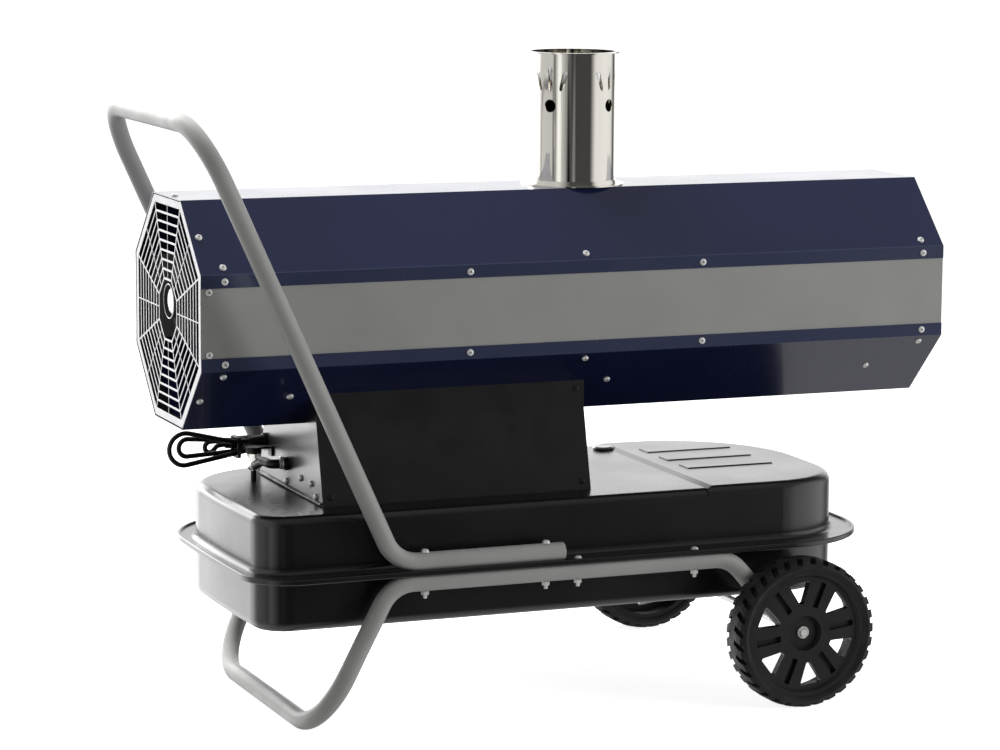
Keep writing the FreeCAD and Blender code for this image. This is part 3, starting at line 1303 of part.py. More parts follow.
def hank_stations():
    # Points and directions along the loops: out on the top run, round the left turn, back below.
    right = V(X_HOUSING - FOLD_OFF_PLATE, 0, FOLD_Z)
    start = lead_start() - AHEAD * LEAD_LENGTH
    stations = [(start, V(-1, 0, 0)), (start - AHEAD * (2 * CORD_R), V(-1, 0, 0))]
    y = CORD_Y
    last = len(LOOP_RADII) - 1
    loops = zip(LOOP_CENTRES_OFF_PLATE, LOOP_CENTRES_Z, LOOP_RADII, LOOP_STEPS)
    for k, (off, z, radius, step) in enumerate(loops):
        left = V(X_HOUSING - off, 0, z)
        upper, lower = tangent_normals(left, radius, right, FOLD_R)
        outward = V(-1, 0, 0)
        climb = step / (2 * (left - right).Length + math.pi * (radius + FOLD_R))
        run = (left - right).Length
        turn = math.pi * radius
        marks = [(left, radius, upper, run), (left, radius, unit(upper + lower + outward), run + turn / 2),
                 (left, radius, lower, run + turn)]
        if k < last:
            next_left = V(X_HOUSING - LOOP_CENTRES_OFF_PLATE[k + 1], 0, LOOP_CENTRES_Z[k + 1])
            next_upper = tangent_normals(next_left, LOOP_RADII[k + 1], right, FOLD_R)[0]
            fold = math.pi * FOLD_R
            marks += [(right, FOLD_R, lower, 2 * run + turn),
                      (right, FOLD_R, unit(lower + next_upper - outward), 2 * run + turn + fold / 2),
                      (right, FOLD_R, next_upper, 2 * run + turn + fold)]
        for centre, r, normal, travelled in marks:
            point = centre + normal * r + ACROSS * (y + climb * travelled)
            heading = unit(V(-normal.z, 0, normal.x) + ACROSS * climb)
            stations.append((point, heading))
        y += step
    end = V(X_HOUSING - PLUG_OFF_PLATE, y, PLUG_Z)
    stations += [(end - AHEAD * (2 * CORD_R), AHEAD), (end, AHEAD)]
    return stations


def arc_between(start, heading, end):
    chord = end - start
    along = unit(chord)
    sideways = heading - along * heading.dot(along)
    if sideways.Length < 1e-7:
        return Part.LineSegment(start, end).toShape()
    bulge = chord.Length / 2 * math.tan(heading.getAngle(along) / 2)
    middle = (start + end) * 0.5 + unit(sideways) * bulge
    return Part.Arc(start, middle, end).toShape()


def biarc(start, heading, end, end_heading):
    # Two tangent arcs, or one straight run, from one station to the next.
    chord = end - start
    if (unit(chord) - heading).Length < 1e-7 and (heading - end_heading).Length < 1e-7:
        return [Part.LineSegment(start, end).toShape()]
    both = heading + end_heading
    spread = 2 * (1 - heading.dot(end_heading))
    ahead = chord.dot(both)
    if spread < 1e-9:
        reach = chord.dot(chord) / (2 * ahead)
    else:
        reach = (math.sqrt(ahead * ahead + spread * chord.dot(chord)) - ahead) / spread
    joint = (start + end + (heading - end_heading) * reach) * 0.5
    back = arc_between(end, end_heading * -1, joint)
    return [arc_between(start, heading, joint), back]


def hank_wire():
    edges = []
    stations = hank_stations()
    for (start, heading), (end, end_heading) in zip(stations, stations[1:]):
        edges += biarc(start, heading, end, end_heading)
    return Part.Wire(Part.sortEdges(edges)[0])


def print_cord(wire):
    # The tightest bend, the length, and the least gap between strands that aren't neighbours.
    radii = [edge.Curve.Radius for edge in wire.Edges if edge.Curve.TypeId == "Part::GeomCircle"]
    points = wire.discretize(Distance=2.0)
    step = wire.Length / (len(points) - 1)
    apart = int(8 * CORD_R / step)
    count = len(points)
    pairs = [(points[i], points[j]) for i in range(count) for j in range(i + apart, count)]
    gap = min((one - other).Length for one, other in pairs) - 2 * CORD_R
    print("hank length %.1f, tightest bend %.1f, least gap to itself %.2f" % (wire.Length, min(radii), gap))


def cord_hank():
    wire = hank_wire()
    print_cord(wire)
    start, heading = hank_stations()[0]
    hank = swept(wire, start, heading, CORD_R)
    section = math.pi * CORD_R ** 2
    print("hank volume over section times length %.4f" % (hank.Volume / (section * wire.Length)))
    return hank


def cable_tie():
    x = X_HOUSING - TIE_OFF_PLATE
    wire = hank_wire()
    reach = CORD_R + FIT_GAP * 2
    before_plug = PLUG_Y - PLUG_WIDTH
    near = [p for p in wire.discretize(Distance=1.0) if abs(p.x - x) < TIE_WIDTH and p.y < before_plug]
    low = V(x - TIE_WIDTH / 2, min(p.y for p in near) - reach, min(p.z for p in near) - reach)
    high = V(x + TIE_WIDTH / 2, max(p.y for p in near) + reach, max(p.z for p in near) + reach)
    wall = V(0, TIE_SHEET, TIE_SHEET)
    inside = box((low.x, low.y, low.z), (high.x, high.y, high.z))
    inside = inside.makeFillet(CORD_R, edges_along(inside, AHEAD))
    low, high = low - wall, high + wall
    outside = box((low.x, low.y, low.z), (high.x, high.y, high.z))
    outside = outside.makeFillet(CORD_R + TIE_SHEET, edges_along(outside, AHEAD))
    return outside.cut(inside)


def plug():
    start = V(X_HOUSING - PLUG_OFF_PLATE, PLUG_Y, PLUG_Z)
    boot = spun(((0, 0), (0, BOOT_R), (BOOT_LENGTH, PLUG_WIDTH / 2 - 1), (BOOT_LENGTH, 0)), start, AHEAD, UP)
    x = start.x + BOOT_LENGTH
    body = box((x, PLUG_Y - PLUG_WIDTH / 2, PLUG_Z - PLUG_HEIGHT / 2),
               (x + PLUG_LENGTH, PLUG_Y + PLUG_WIDTH / 2, PLUG_Z + PLUG_HEIGHT / 2))
    body = body.makeFillet(PLUG_ROUND, edges_along(body, AHEAD))
    pins = []
    for hand in (1, -1):
        foot = V(x + PLUG_LENGTH, PLUG_Y, PLUG_Z + hand * PIN_SPACING / 2)
        pins.append(rod(foot, AHEAD, PIN_R, PIN_LENGTH))
    return fuse([boot, body] + pins)


NODES = {
    "casing_upper_shell": casing_upper_shell,
    "casing_lower_shell": lambda: casing_shell(-1),
    "side_panel_near": side_panel_near,
    "side_panel_far": lambda: mirrored(side_panel_near()),
    "casing_screws": casing_screws,
    "fan_guard": fan_guard,
    "motor_bracket": motor_bracket,
    "fan_motor": fan_motor,
    "motor_end_cap": motor_end_cap,
    "motor_shaft": motor_shaft,
    "fan_rotor": fan_rotor,
    "burner_tube": burner_tube,
    "diffuser_disc": diffuser_disc,
    "nozzle_holder": nozzle_holder,
    "electrodes": electrodes,
    "combustion_chamber": combustion_chamber,
    "heat_exchanger": heat_exchanger,
    "exchanger_saddles": exchanger_saddles,
    "flue_collar": flue_collar,
    "flue_pipe": flue_pipe,
    "outlet_ring": outlet_ring,
    "housing_base": housing_base,
    "housing_end_inlet": housing_end_inlet,
    "housing_end_outlet": housing_end_outlet,
    "housing_cover_near": housing_cover_near,
    "control_panel": control_panel,
    "housing_screws": housing_screws,
    "switch_knob": switch_knob,
    "reset_button": reset_button,
    "indicator_lamp": indicator_lamp,
    "thermostat_socket": thermostat_socket,
    "ignition_transformer": ignition_transformer,
    "control_box": control_box,
    "fuel_pump": fuel_pump,
    "tank_upper": tank_upper,
    "tank_lower": tank_lower,
    "filler_neck": filler_neck,
    "fuel_cap": fuel_cap,
    "fuel_gauge": fuel_gauge,
    "drain_plug": drain_plug,
    "handle_frame": handle_frame,
    "lower_frame": lower_frame,
    "frame_bolts": frame_bolts,
    "frame_nuts": frame_nuts,
    "axle": axle,
    "axle_washers": axle_washers,
    "axle_push_nuts": axle_push_nuts,
    "wheel_near_rim": wheel_rim,
    "wheel_near_tyre": wheel_tyre,
    "wheel_far_rim": lambda: mirrored(wheel_rim()),
    "wheel_far_tyre": lambda: mirrored(wheel_tyre()),
    "fuel_filter_head": fuel_filter_head,
    "fuel_filter_bowl": fuel_filter_bowl,
    "fuel_hose": fuel_hose,
    "hose_gland": hose_gland,
    "cord_gland": cord_gland,
    "cord_lead": cord_lead,
    "cord_hank": cord_hank,
    "plug": plug,
    "cable_tie": cable_tie,
}

os.makedirs("parts", exist_ok=True)
for name, make in NODES.items():
    make().exportStep(os.path.join("parts", name + ".step"))
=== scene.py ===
import bpy
import bmesh
import json
import math
from mathutils import Matrix, Vector


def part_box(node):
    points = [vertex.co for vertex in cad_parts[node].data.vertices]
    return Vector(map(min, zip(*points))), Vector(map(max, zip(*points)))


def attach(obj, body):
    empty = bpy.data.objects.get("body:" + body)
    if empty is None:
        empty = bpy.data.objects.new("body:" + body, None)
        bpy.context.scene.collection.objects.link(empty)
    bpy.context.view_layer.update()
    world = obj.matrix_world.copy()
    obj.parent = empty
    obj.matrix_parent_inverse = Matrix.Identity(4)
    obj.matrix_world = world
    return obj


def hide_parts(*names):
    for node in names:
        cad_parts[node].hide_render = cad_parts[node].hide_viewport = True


# Looks of an indirect-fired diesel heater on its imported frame.
# Metres. +X towards the hot-air outlet, -Y the near side, +Z up, floor at z = 0.

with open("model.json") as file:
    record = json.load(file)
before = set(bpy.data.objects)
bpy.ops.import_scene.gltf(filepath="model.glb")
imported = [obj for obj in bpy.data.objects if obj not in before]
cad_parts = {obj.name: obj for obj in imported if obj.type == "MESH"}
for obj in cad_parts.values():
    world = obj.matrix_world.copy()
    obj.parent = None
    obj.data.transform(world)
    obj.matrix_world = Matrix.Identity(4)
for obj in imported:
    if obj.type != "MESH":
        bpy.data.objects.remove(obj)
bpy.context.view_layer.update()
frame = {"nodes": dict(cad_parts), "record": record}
NODES = frame["nodes"]

# Camera, fitted to the photograph
AIM = Vector((-0.04987, 0.0, 0.4458))
AZIMUTH = -22.016
ELEVATION = 8.604
ROLL = 0.376
DISTANCE = 4.8058
LENS = 122.4
SENSOR = 36.0
CLIP_END = 200.0

# Studio light: a glowing floor, two area lights, each a place, aim, size and power, and soft lobes of sky,
# each a direction, the cosines where it starts and is full, and its strength
FLOOR_REACH = 60.0
FLOOR_GLOW = 0.86
KEY_LIGHT = ((-0.8, 1.6, 3.0), (0, 0, 0.5), (2.4, 2.0), 290.0)
FILL_LIGHT = ((2.7, -2.9, 1.5), (0.1, 0, 0.5), (2.0, 1.4), 100.0)
SKY_BASE = 0.06
SKY_LOBES = (((0.30, 0.95, 0.10), 0.72, 0.96, 1.35),
             ((-0.45, 0.88, -0.15), 0.80, 0.97, 1.65),
             ((-0.15, 0.92, 0.37), 0.93, 0.985, 3.20),
             ((0.0, 0.0, 1.0), 0.35, 0.90, 0.225),
             ((0.0, 0.0, -1.0), 0.40, 0.85, 0.55),
             ((-0.95, 0.1, 0.0), 0.30, 0.80, 0.60),
             ((0.95, -0.3, 0.0), 0.67, 0.90, 0.90),
             ((-0.85, -0.51, -0.15), 0.988, 0.997, 0.45),
             ((-0.95, -0.29, -0.15), 0.990, 0.997, -0.50),
             ((-0.55, -0.82, -0.15), 0.994, 0.998, -0.20),
             ((-0.32, -0.93, -0.15), 0.994, 0.998, 0.22))

# Lengths closer than this are the same, and the finest edge between two colours
SAME = 1e-6
COLOUR_EDGE = 0.0001

# Eight-sided casing
OCT_SIDES = 8
OCT_HALF = math.radians(22.5)
OCT_CORNER = 1 / math.cos(OCT_HALF)

# Mains lead, with the route of its hank. Each loop gives its left turn's distance from the housing plate,
# height and radius, and the step to the far side that the loop makes.
PLATE_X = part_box("housing_end_inlet")[0].x
CORD_R = 0.0035
CORD_Y = 0.11052
CORD_Z = 0.353
GLAND_LENGTH = 0.026
LEAD_LENGTH = 0.009
LEAD_STRAIGHT = 4 * CORD_R
LOOPS = ((0.117, 0.3455, 0.023, 0.012),
         (0.1105, 0.3455, 0.0125, 0.0095),
         (0.072, 0.342, 0.008, 0.0165))
FOLD_OFF_PLATE = 0.0315
FOLD_Z = 0.3445
FOLD_R = 0.008
PLUG_OFF_PLATE = 0.0485
PLUG_Z = 0.343
PLUG_RUN = 3 * CORD_R
TURN_POINTS = 5

# Screw heads: a pan in shares of height and radius, with a cross recess
SCREW_PAN = ((0.0, 1.0), (0.35, 1.0), (0.62, 0.93), (0.85, 0.78), (1.0, 0.60))
SCREW_STEPS = 24
SCREW_SMOOTH = 40.0
SCREW_SPIN = 0.9
RECESS_FLOOR = 0.45
RECESS_CORE = 0.16
RECESS_ARM = 0.38
END_HEAD_R = 0.0047
END_HEAD_HEIGHT = 0.0036
FACE_TILT = math.radians(8.0)

# Small hardware, as (distance along the axis, radius) pairs where it is turned
SMALL_STEPS = 20
NUT_STEPS = 40
PUSH_NUT = ((0, 0.0051), (0, 0.0087), (0.0022, 0.0087), (0.0032, 0.0079), (0.0032, 0.0070),
            (0.0010, 0.0064), (0.0010, 0.0051), (0, 0.0051))
BOLT_R = 0.0030
BOLT_TIP = ((0.0, 0.0), (0.0, 0.0023), (0.0007, 0.0029))
BOLT_HEAD = 0.0045
BOLT_HEAD_SIDE = ((0.0, 0.0030), (0.0, 0.0058), (0.0009, 0.0058), (0.0012, 0.0050), (0.0030, 0.0048),
                  (0.0041, 0.0036))
BOLT_CROWN_R = 0.0018
THREADS = 8
THREAD_START = 0.0012
THREAD_PITCH = 0.001
THREAD_ROOT = 0.0026
HOSE_R = 0.0065
CLAMP_R = 0.0074
CLAMP_EDGE = 0.0005
CLAMP_WIDTH = 0.006
CLAMP_AWAY = 0.001
CLAMP_STEPS = 36
CLAMP_SCREW = ((0, 0), (0, 0.0020), (0.0006, 0.0026), (0.0070, 0.0026), (0.0072, 0.0020), (0.0090, 0.0020),
               (0.0096, 0.0014), (0.0096, 0))
TRIM_R = 0.0034
TRIM_STEPS = 6

# Fan guard: rows of bars between spokes, in a border with a return
GUARD_FRONT = 0.0006
GUARD_SHEET = 0.001
GUARD_ROWS = 8
GUARD_BAR = 0.0030
GUARD_BORDER = 0.0102
GUARD_OPENING = 0.040
GUARD_CORNER = 0.0030
GUARD_MIDDLE = 0.0018
GUARD_EDGE = 0.0003
GUARD_BEHIND = 0.0001
GUARD_SMOOTH = 20.0

# Casing lips, plug pins, filter bowl, and the motor cap as (distance, radius, material) bands
LIP_OUT = 0.1540
# Painted highlight: a paler copy of the casing blue on the lips' upright faces beyond LIP_OUT.
LIP_PAINTED_HIGHLIGHT_BLUE = (0.026, 0.032, 0.070)
PIN_LENGTH = 0.0159
BOWL_CLEARNESS = 0.85
CAP_FRONT = 0.0075
CAP_STEPS = 64
# Material 0 is bright alloy and material 1 the black end shield; the black on the cup's inner wall, between
# dome and rim, is painted shade.
CAP_BANDS = ((0.0012, 0.0, 0), (0.0014, 0.007, 0), (0.0022, 0.013, 0), (0.0036, 0.0175, 0),
             (0.0058, 0.0196, 1), (0.0060, 0.0222, 1), (0.0004, 0.0226, 0), (0.0000, 0.0232, 0),
             (0.0002, 0.0238, 0), (0.0010, 0.0241, 1), (0.0144, 0.0250, 1), (0.0145, 0.0375, 1),
             (0.0215, 0.0550, 1), (0.0215, 0.0, 1))

# Flue: groups of three slots with bent tongues, each over a round hole
FLUE_R = 0.060
FLUE_STEPS = 120
FLUE_SHEET = 0.001
FLUE_RIM_R = 0.0662
FLUE_RIM = 0.0018
FLUE_GROUPS = 4
FLUE_FIRST = 215.0
FLUE_HOLE_R = 0.009
FLUE_HOLE_DOWN = 0.074
HOLE_STEPS = 24
SLOT_FOOT = 0.024
SLOT_TOPS = (0.048, 0.054, 0.048)
SLOT_FOOT_ANGLES = (-16.0, 0.0, 16.0)
SLOT_TOP_ANGLES = (-22.5, 0.0, 22.5)
SLOT_FOOT_WIDTH = 0.0056
SLOT_TOP_WIDTH = 0.0084
SLOT_OUTLINE = ((-0.12, 0.45), (0.0, 0.9), (0.12, 1.0), (0.5, 1.0), (0.88, 0.95), (1.0, 0.5))
CUT_INSIDE = 0.8
CUT_OUTSIDE = 1.2
TONGUE_SHARE = 0.72
TONGUE_BEND = 0.0055
TONGUE_STEPS = 6
TONGUE_TOP = 0.85
TONGUE_TAPER = 0.3
TONGUE_SHEET = 0.0007


# Scene helpers

def link(obj):
    bpy.context.scene.collection.objects.link(obj)
    return obj


def new_mesh(name, bm, smooth=True):
    mesh = bpy.data.meshes.new(name)
    bm.to_mesh(mesh)
    bm.free()
    for face in mesh.polygons:
        face.use_smooth = smooth
    return link(bpy.data.objects.new(name, mesh))


def dress(obj, *materials):
    # Clearing an empty list would reset the faces' material indices.
    if len(obj.data.materials):
        obj.data.materials.clear()
    for material in materials:
        obj.data.materials.append(material)


def smooth_by_angle(obj, limit=30.0):
    # Smooth faces with the sharp edges marked.
    bm = bmesh.new()
    bm.from_mesh(obj.data)
    for face in bm.faces:
        face.smooth = True
    for edge in bm.edges:
        if len(edge.link_faces) == 2:
            edge.smooth = edge.calc_face_angle(0.0) < math.radians(limit)
    bm.to_mesh(obj.data)
    bm.free()


def lathe(bm, profile, steps, matrix, bands=None, scale=1.0):
    # Turns (distance along Z, radius) pairs about Z; a radius of zero closes the end. Bands give the
    # material index of each stretch of the profile. A radius can be a function of the angle, times scale.
    rows = []
    for along, radius in profile:
        if radius == 0:
            rows.append([bm.verts.new(matrix @ Vector((0, 0, along)))])
            continue
        row = []
        for i in range(steps):
            a = 2 * math.pi * i / steps
            r = radius(a) * scale if callable(radius) else radius
            row.append(bm.verts.new(matrix @ Vector((r * math.cos(a), r * math.sin(a), along))))
        rows.append(row)
    for k, (low, high) in enumerate(zip(rows, rows[1:])):
        for i in range(steps):
            j = (i + 1) % steps
            corners = [low[i % len(low)], low[j % len(low)], high[j % len(high)], high[i % len(high)]]
            unique = list(dict.fromkeys(corners))
            if len(unique) > 2:
                face = bm.faces.new(unique)
                face.material_index = bands[k] if bands else 0


def join_ends(bm, first, last):
    # Walls between two outlines of points, and a face across each.
    count = len(first)
    for i in range(count):
        j = (i + 1) % count
        bm.faces.new((first[i], first[j], last[j], last[i]))
    bm.faces.new(last)
    bm.faces.new(first[::-1])


def facing(point, direction, spin=0.0):
    # A frame at a point whose Z looks along the direction.
    turn = direction.to_track_quat("Z", "Y").to_matrix().to_4x4()
    return Matrix.Translation(point) @ turn @ Matrix.Rotation(spin, 4, "Z")


def loose_parts(node):
    # The separate solids of a node, each as its list of points.
    mesh = NODES[node].data
    bm = bmesh.new()
    bm.from_mesh(mesh)
    bmesh.ops.remove_doubles(bm, verts=bm.verts, dist=SAME)
    bm.verts.ensure_lookup_table()
    seen = set()
    parts = []
    for vert in bm.verts:
        if vert.index in seen:
            continue
        seen.add(vert.index)
        stack = [vert]
        points = []
        while stack:
            here = stack.pop()
            points.append(here.co.copy())
            for edge in here.link_edges:
                other = edge.other_vert(here)
                if other.index not in seen:
                    seen.add(other.index)
                    stack.append(other)
        parts.append(points)
    bm.free()
    return parts


def middle_of(points):
    return sum(points, Vector()) / len(points)


def box_middle(node):
    low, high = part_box(node)
    return (low + high) / 2


def stands_for(obj, body, slot, *nodes):
    # Rides on a body in place of CAD nodes.
    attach(obj, body)
    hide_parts(*nodes)


# Places read from the frame

CASING_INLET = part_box("casing_upper_shell")[0].x
AXIS_Z = box_middle("outlet_ring").z
FLUE_FOOT = box_middle("flue_pipe")
FLUE_FOOT.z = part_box("flue_pipe")[0].z
FLUE_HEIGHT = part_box("flue_pipe")[1].z - FLUE_FOOT.z


# Materials

class Look:
    # A procedural material: a principled shader with noise in its colour, roughness and surface.
    def __init__(self, name, colour, rough, metallic=0.0):
        self.material = bpy.data.materials.new(name)
        self.material.use_nodes = True
        self.nodes = self.material.node_tree.nodes
        self.links = self.material.node_tree.links
        self.shader = self.nodes["Principled BSDF"]
        self.set("Base Color", (*colour, 1.0))
        self.set("Roughness", rough)
        self.set("Metallic", metallic)
        self.colour = colour
        self.rough = rough
        self.place = self.nodes.new("ShaderNodeTexCoord").outputs["Object"]
        self.height = None

    def set(self, socket, value):
        self.shader.inputs[socket].default_value = value
        return self

    def stretch(self, scale):
        mapping = self.nodes.new("ShaderNodeMapping")
        mapping.inputs["Scale"].default_value = scale
        self.links.new(self.place, mapping.inputs["Vector"])
        return mapping.outputs["Vector"]

    def noise(self, scale, detail=3.0, stretch=None):
        node = self.nodes.new("ShaderNodeTexNoise")
        node.inputs["Scale"].default_value = scale
        node.inputs["Detail"].default_value = detail
        self.links.new(self.stretch(stretch) if stretch else self.place, node.inputs["Vector"])
        return node.outputs["Fac"]

    def spread(self, value, low, high, start=0.3, end=0.7):
        node = self.nodes.new("ShaderNodeMapRange")
        node.inputs["From Min"].default_value = start
        node.inputs["From Max"].default_value = end
        node.inputs["To Min"].default_value = low
        node.inputs["To Max"].default_value = high
        self.links.new(value, node.inputs["Value"])
        return node.outputs["Result"]

    def vary_rough(self, amount, scale, stretch=None):
        value = self.spread(self.noise(scale, 4.0, stretch), self.rough - amount, self.rough + amount)
        self.links.new(value, self.shader.inputs["Roughness"])
        return self

    def vary_colour(self, other, scale, start=0.35, end=0.75, stretch=None):
        mix = self.nodes.new("ShaderNodeMix")
        mix.data_type = "RGBA"
        mix.inputs["A"].default_value = (*self.colour, 1.0)
        mix.inputs["B"].default_value = (*other, 1.0)
        share = self.spread(self.noise(scale, 5.0, stretch), 0.0, 1.0, start, end)
        self.links.new(share, mix.inputs["Factor"])
        self.links.new(mix.outputs["Result"], self.shader.inputs["Base Color"])
        return self

    def bumps(self, scale, depth, strength=1.0, detail=2.0, stretch=None):
        bump = self.nodes.new("ShaderNodeBump")
        bump.inputs["Strength"].default_value = strength
        bump.inputs["Distance"].default_value = depth
        self.links.new(self.noise(scale, detail, stretch), bump.inputs["Height"])
        if self.height is not None:
            self.links.new(self.height, bump.inputs["Normal"])
        self.height = bump.outputs["Normal"]
        self.links.new(self.height, self.shader.inputs["Normal"])
        return self

    def split(self, axis, place, other, metal=False, both=False):
        # A second colour, or bare metal, beyond a place along one axis, or on both sides of the middle.
        apart = self.nodes.new("ShaderNodeSeparateXYZ")
        self.links.new(self.place, apart.inputs["Vector"])
        along = apart.outputs[axis]
        if both:
            size = self.nodes.new("ShaderNodeMath")
            size.operation = "ABSOLUTE"
            self.links.new(along, size.inputs[0])
            along = size.outputs["Value"]
        beyond = self.spread(along, 0.0, 1.0, place, place + COLOUR_EDGE)
        mix = self.nodes.new("ShaderNodeMix")
        mix.data_type = "RGBA"
        base = self.shader.inputs["Base Color"]
        mix.inputs["A"].default_value = base.default_value
        if base.is_linked:
            self.links.new(base.links[0].from_socket, mix.inputs["A"])
        mix.inputs["B"].default_value = (*other, 1.0)
        self.links.new(beyond, mix.inputs["Factor"])
        self.links.new(mix.outputs["Result"], base)
        if metal:
            self.links.new(beyond, self.shader.inputs["Metallic"])
        return self

    def coat(self, weight, rough):
        self.set("Coat Weight", weight)
        self.set("Coat Roughness", rough)
        return self


def enamel(name, colour, other, rough, gloss=0.06, coat=0.6, lip=None):
    # Gloss paint with a faint orange peel, and a paler tone on upright faces beyond a lip, which is a
    # painted highlight.
    look = Look(name, colour, rough)
    look.vary_colour(other, 3.0).vary_rough(0.05, 9.0)
    look.bumps(260.0, 0.00006, 0.35).bumps(9.0, 0.0008, 0.06)
    if lip:
        look.split("Y", lip, LIP_PAINTED_HIGHLIGHT_BLUE, both=True)
    return look.coat(coat, gloss).material


def powder_coat(name, colour, other, rough, grain):
    look = Look(name, colour, rough)
    look.vary_colour(other, 14.0).vary_rough(0.07, 30.0)
    return look.bumps(grain, 0.00012, 0.5, 3.0).material


def steel(name, colour, rough, streaks=None):
    look = Look(name, colour, rough, 1.0)
    dull = tuple(0.82 * c for c in colour)
    look.vary_colour(dull, 40.0, 0.3, 0.8, streaks).vary_rough(0.06, 60.0, streaks)
    return look.bumps(180.0, 0.00004, 0.25, 3.0, streaks).material


def zinc(name, colour, rough):
    # Passivated plating, which is part bright and part chalky.
    look = Look(name, colour, rough, 0.45)
    look.vary_colour(tuple(0.8 * c for c in colour), 240.0, 0.35, 0.75).vary_rough(0.07, 300.0)
    return look.bumps(800.0, 0.00003, 0.25, 3.0).material


def plastic(name, colour, rough, grain=700.0, depth=0.00008):
    look = Look(name, colour, rough)
    pale = tuple(min(1.0, c * 1.35 + 0.004) for c in colour)
    look.vary_colour(pale, 22.0).vary_rough(0.08, 45.0)
    return look.bumps(grain, depth, 0.4, 3.0).material


def rubber(name, colour, rough):
    look = Look(name, colour, rough)
    dusty = tuple(c * 1.5 + 0.006 for c in colour)
    look.vary_colour(dusty, 35.0, 0.45, 0.8).vary_rough(0.09, 60.0)
    return look.bumps(900.0, 0.0001, 0.5, 4.0).material


MATERIALS = {
    "casing_blue": enamel("casing_blue", (0.0068, 0.0098, 0.039), (0.0086, 0.0125, 0.046), 0.26,
                          lip=LIP_OUT),
    "panel_grey": powder_coat("panel_grey", (0.245, 0.245, 0.235), (0.265, 0.265, 0.255), 0.45, 520.0),
    "screw_zinc": zinc("screw_zinc", (0.84, 0.84, 0.82), 0.34),
    "guard_white": powder_coat("guard_white", (0.74, 0.735, 0.75), (0.79, 0.785, 0.80), 0.38, 600.0),
    "inner_steel": steel("inner_steel", (0.42, 0.42, 0.41), 0.42),
    "heat_steel": steel("heat_steel", (0.36, 0.34, 0.32), 0.48),
    "motor_alloy": steel("motor_alloy", (0.58, 0.59, 0.60), 0.24),
    "shield_black": powder_coat("shield_black", (0.004, 0.004, 0.004), (0.006, 0.006, 0.006), 0.75, 500.0),
    "plate_black": enamel("plate_black", (0.010, 0.010, 0.0105), (0.013, 0.013, 0.0135), 0.34, 0.22, 1.0),
    "motor_paint": powder_coat("motor_paint", (0.05, 0.05, 0.055), (0.06, 0.06, 0.065), 0.45, 500.0),
    "fuel_brass": steel("fuel_brass", (0.66, 0.50, 0.24), 0.3),
    "ceramic_white": plastic("ceramic_white", (0.75, 0.73, 0.68), 0.25),
    "flue_steel": steel("flue_steel", (0.86, 0.83, 0.765), 0.075, (1.0, 1.0, 0.06)),
    # Painted reflection: the steel tongues are a pale non-metal, lit to look like the bright reflection they
    # show.
    "tongue_painted_reflection": plastic("tongue_painted_reflection", (0.86, 0.85, 0.82), 0.22),
    "housing_black": powder_coat("housing_black", (0.0065, 0.0065, 0.0068), (0.0085, 0.0085, 0.009),
                                 0.40, 650.0),
    "control_plastic": plastic("control_plastic", (0.012, 0.012, 0.012), 0.32),
    "reset_red": plastic("reset_red", (0.42, 0.03, 0.025), 0.28),
    "lamp_amber": plastic("lamp_amber", (0.62, 0.26, 0.03), 0.15),
    "pump_alloy": steel("pump_alloy", (0.55, 0.56, 0.57), 0.38),
    "tank_black": enamel("tank_black", (0.0040, 0.0040, 0.0043), (0.0055, 0.0055, 0.0059), 0.30, 0.20),
    "cap_plastic": enamel("cap_plastic", (0.010, 0.010, 0.010), (0.014, 0.014, 0.014), 0.36, 0.14, 1.0),
    "tube_grey": powder_coat("tube_grey", (0.27, 0.27, 0.262), (0.295, 0.295, 0.287), 0.42, 700.0),
    "rim_black": plastic("rim_black", (0.0075, 0.0075, 0.008), 0.48, 900.0, 0.00012),
    "tyre_black": rubber("tyre_black", (0.0065, 0.0065, 0.007), 0.62),
    "bowl_clear": plastic("bowl_clear", (0.86, 0.86, 0.83), 0.08),
    "hose_black": rubber("hose_black", (0.010, 0.010, 0.010), 0.40),
    "cord_black": rubber("cord_black", (0.008, 0.008, 0.008), 0.34),
}
BOWL_SHADER = MATERIALS["bowl_clear"].node_tree.nodes["Principled BSDF"]
BOWL_SHADER.inputs["Transmission Weight"].default_value = BOWL_CLEARNESS
# Painted shade: near-black in the screws' cross recesses.
RECESS_PAINTED_SHADE = Look("screw_recess_painted_shade", (0.03, 0.03, 0.03), 0.6).vary_rough(0.1, 200.0).material


def guard_paint_and_painted_shade():
    # White on the front face of the plate; painted shade behind it, near-black on the bars' side walls and
    # on the return inside the casing.
    look = Look("guard_paint_and_painted_shade", (0.60, 0.595, 0.61), 0.42)
    look.vary_rough(0.07, 30.0).bumps(600.0, 0.00012, 0.5, 3.0)
    front = CASING_INLET + GUARD_FRONT + GUARD_EDGE
    return look.split("X", front, (0.012, 0.012, 0.014)).material


def plug_moulding():
    # Black moulding with plated pins.
    look = Look("plug_moulding", (0.008, 0.008, 0.008), 0.34)
    look.vary_rough(0.08, 60.0).bumps(900.0, 0.0001, 0.4, 3.0)
    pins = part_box("plug")[1].x - PIN_LENGTH
    return look.split("X", pins, (0.72, 0.70, 0.64), metal=True).material


for part in frame["record"]["subparts"]:
    dress(NODES[part["node"]], MATERIALS[part["material_slot"]])
MATERIALS["guard_paint_and_painted_shade"] = guard_paint_and_painted_shade()
dress(NODES["plug"], plug_moulding())
for fitting in ("hose_gland", "fuel_filter_head"):
    dress(NODES[fitting], MATERIALS["hose_black"])
# Painted shade: the fan, its motor and bracket take the near-black shield paint, darker than their own
# finishes, to darken the inside of the casing.
for inner in ("motor_bracket", "fan_rotor", "fan_motor"):
    dress(NODES[inner], MATERIALS["shield_black"])
dress(NODES["housing_end_inlet"], MATERIALS["plate_black"])


# Camera

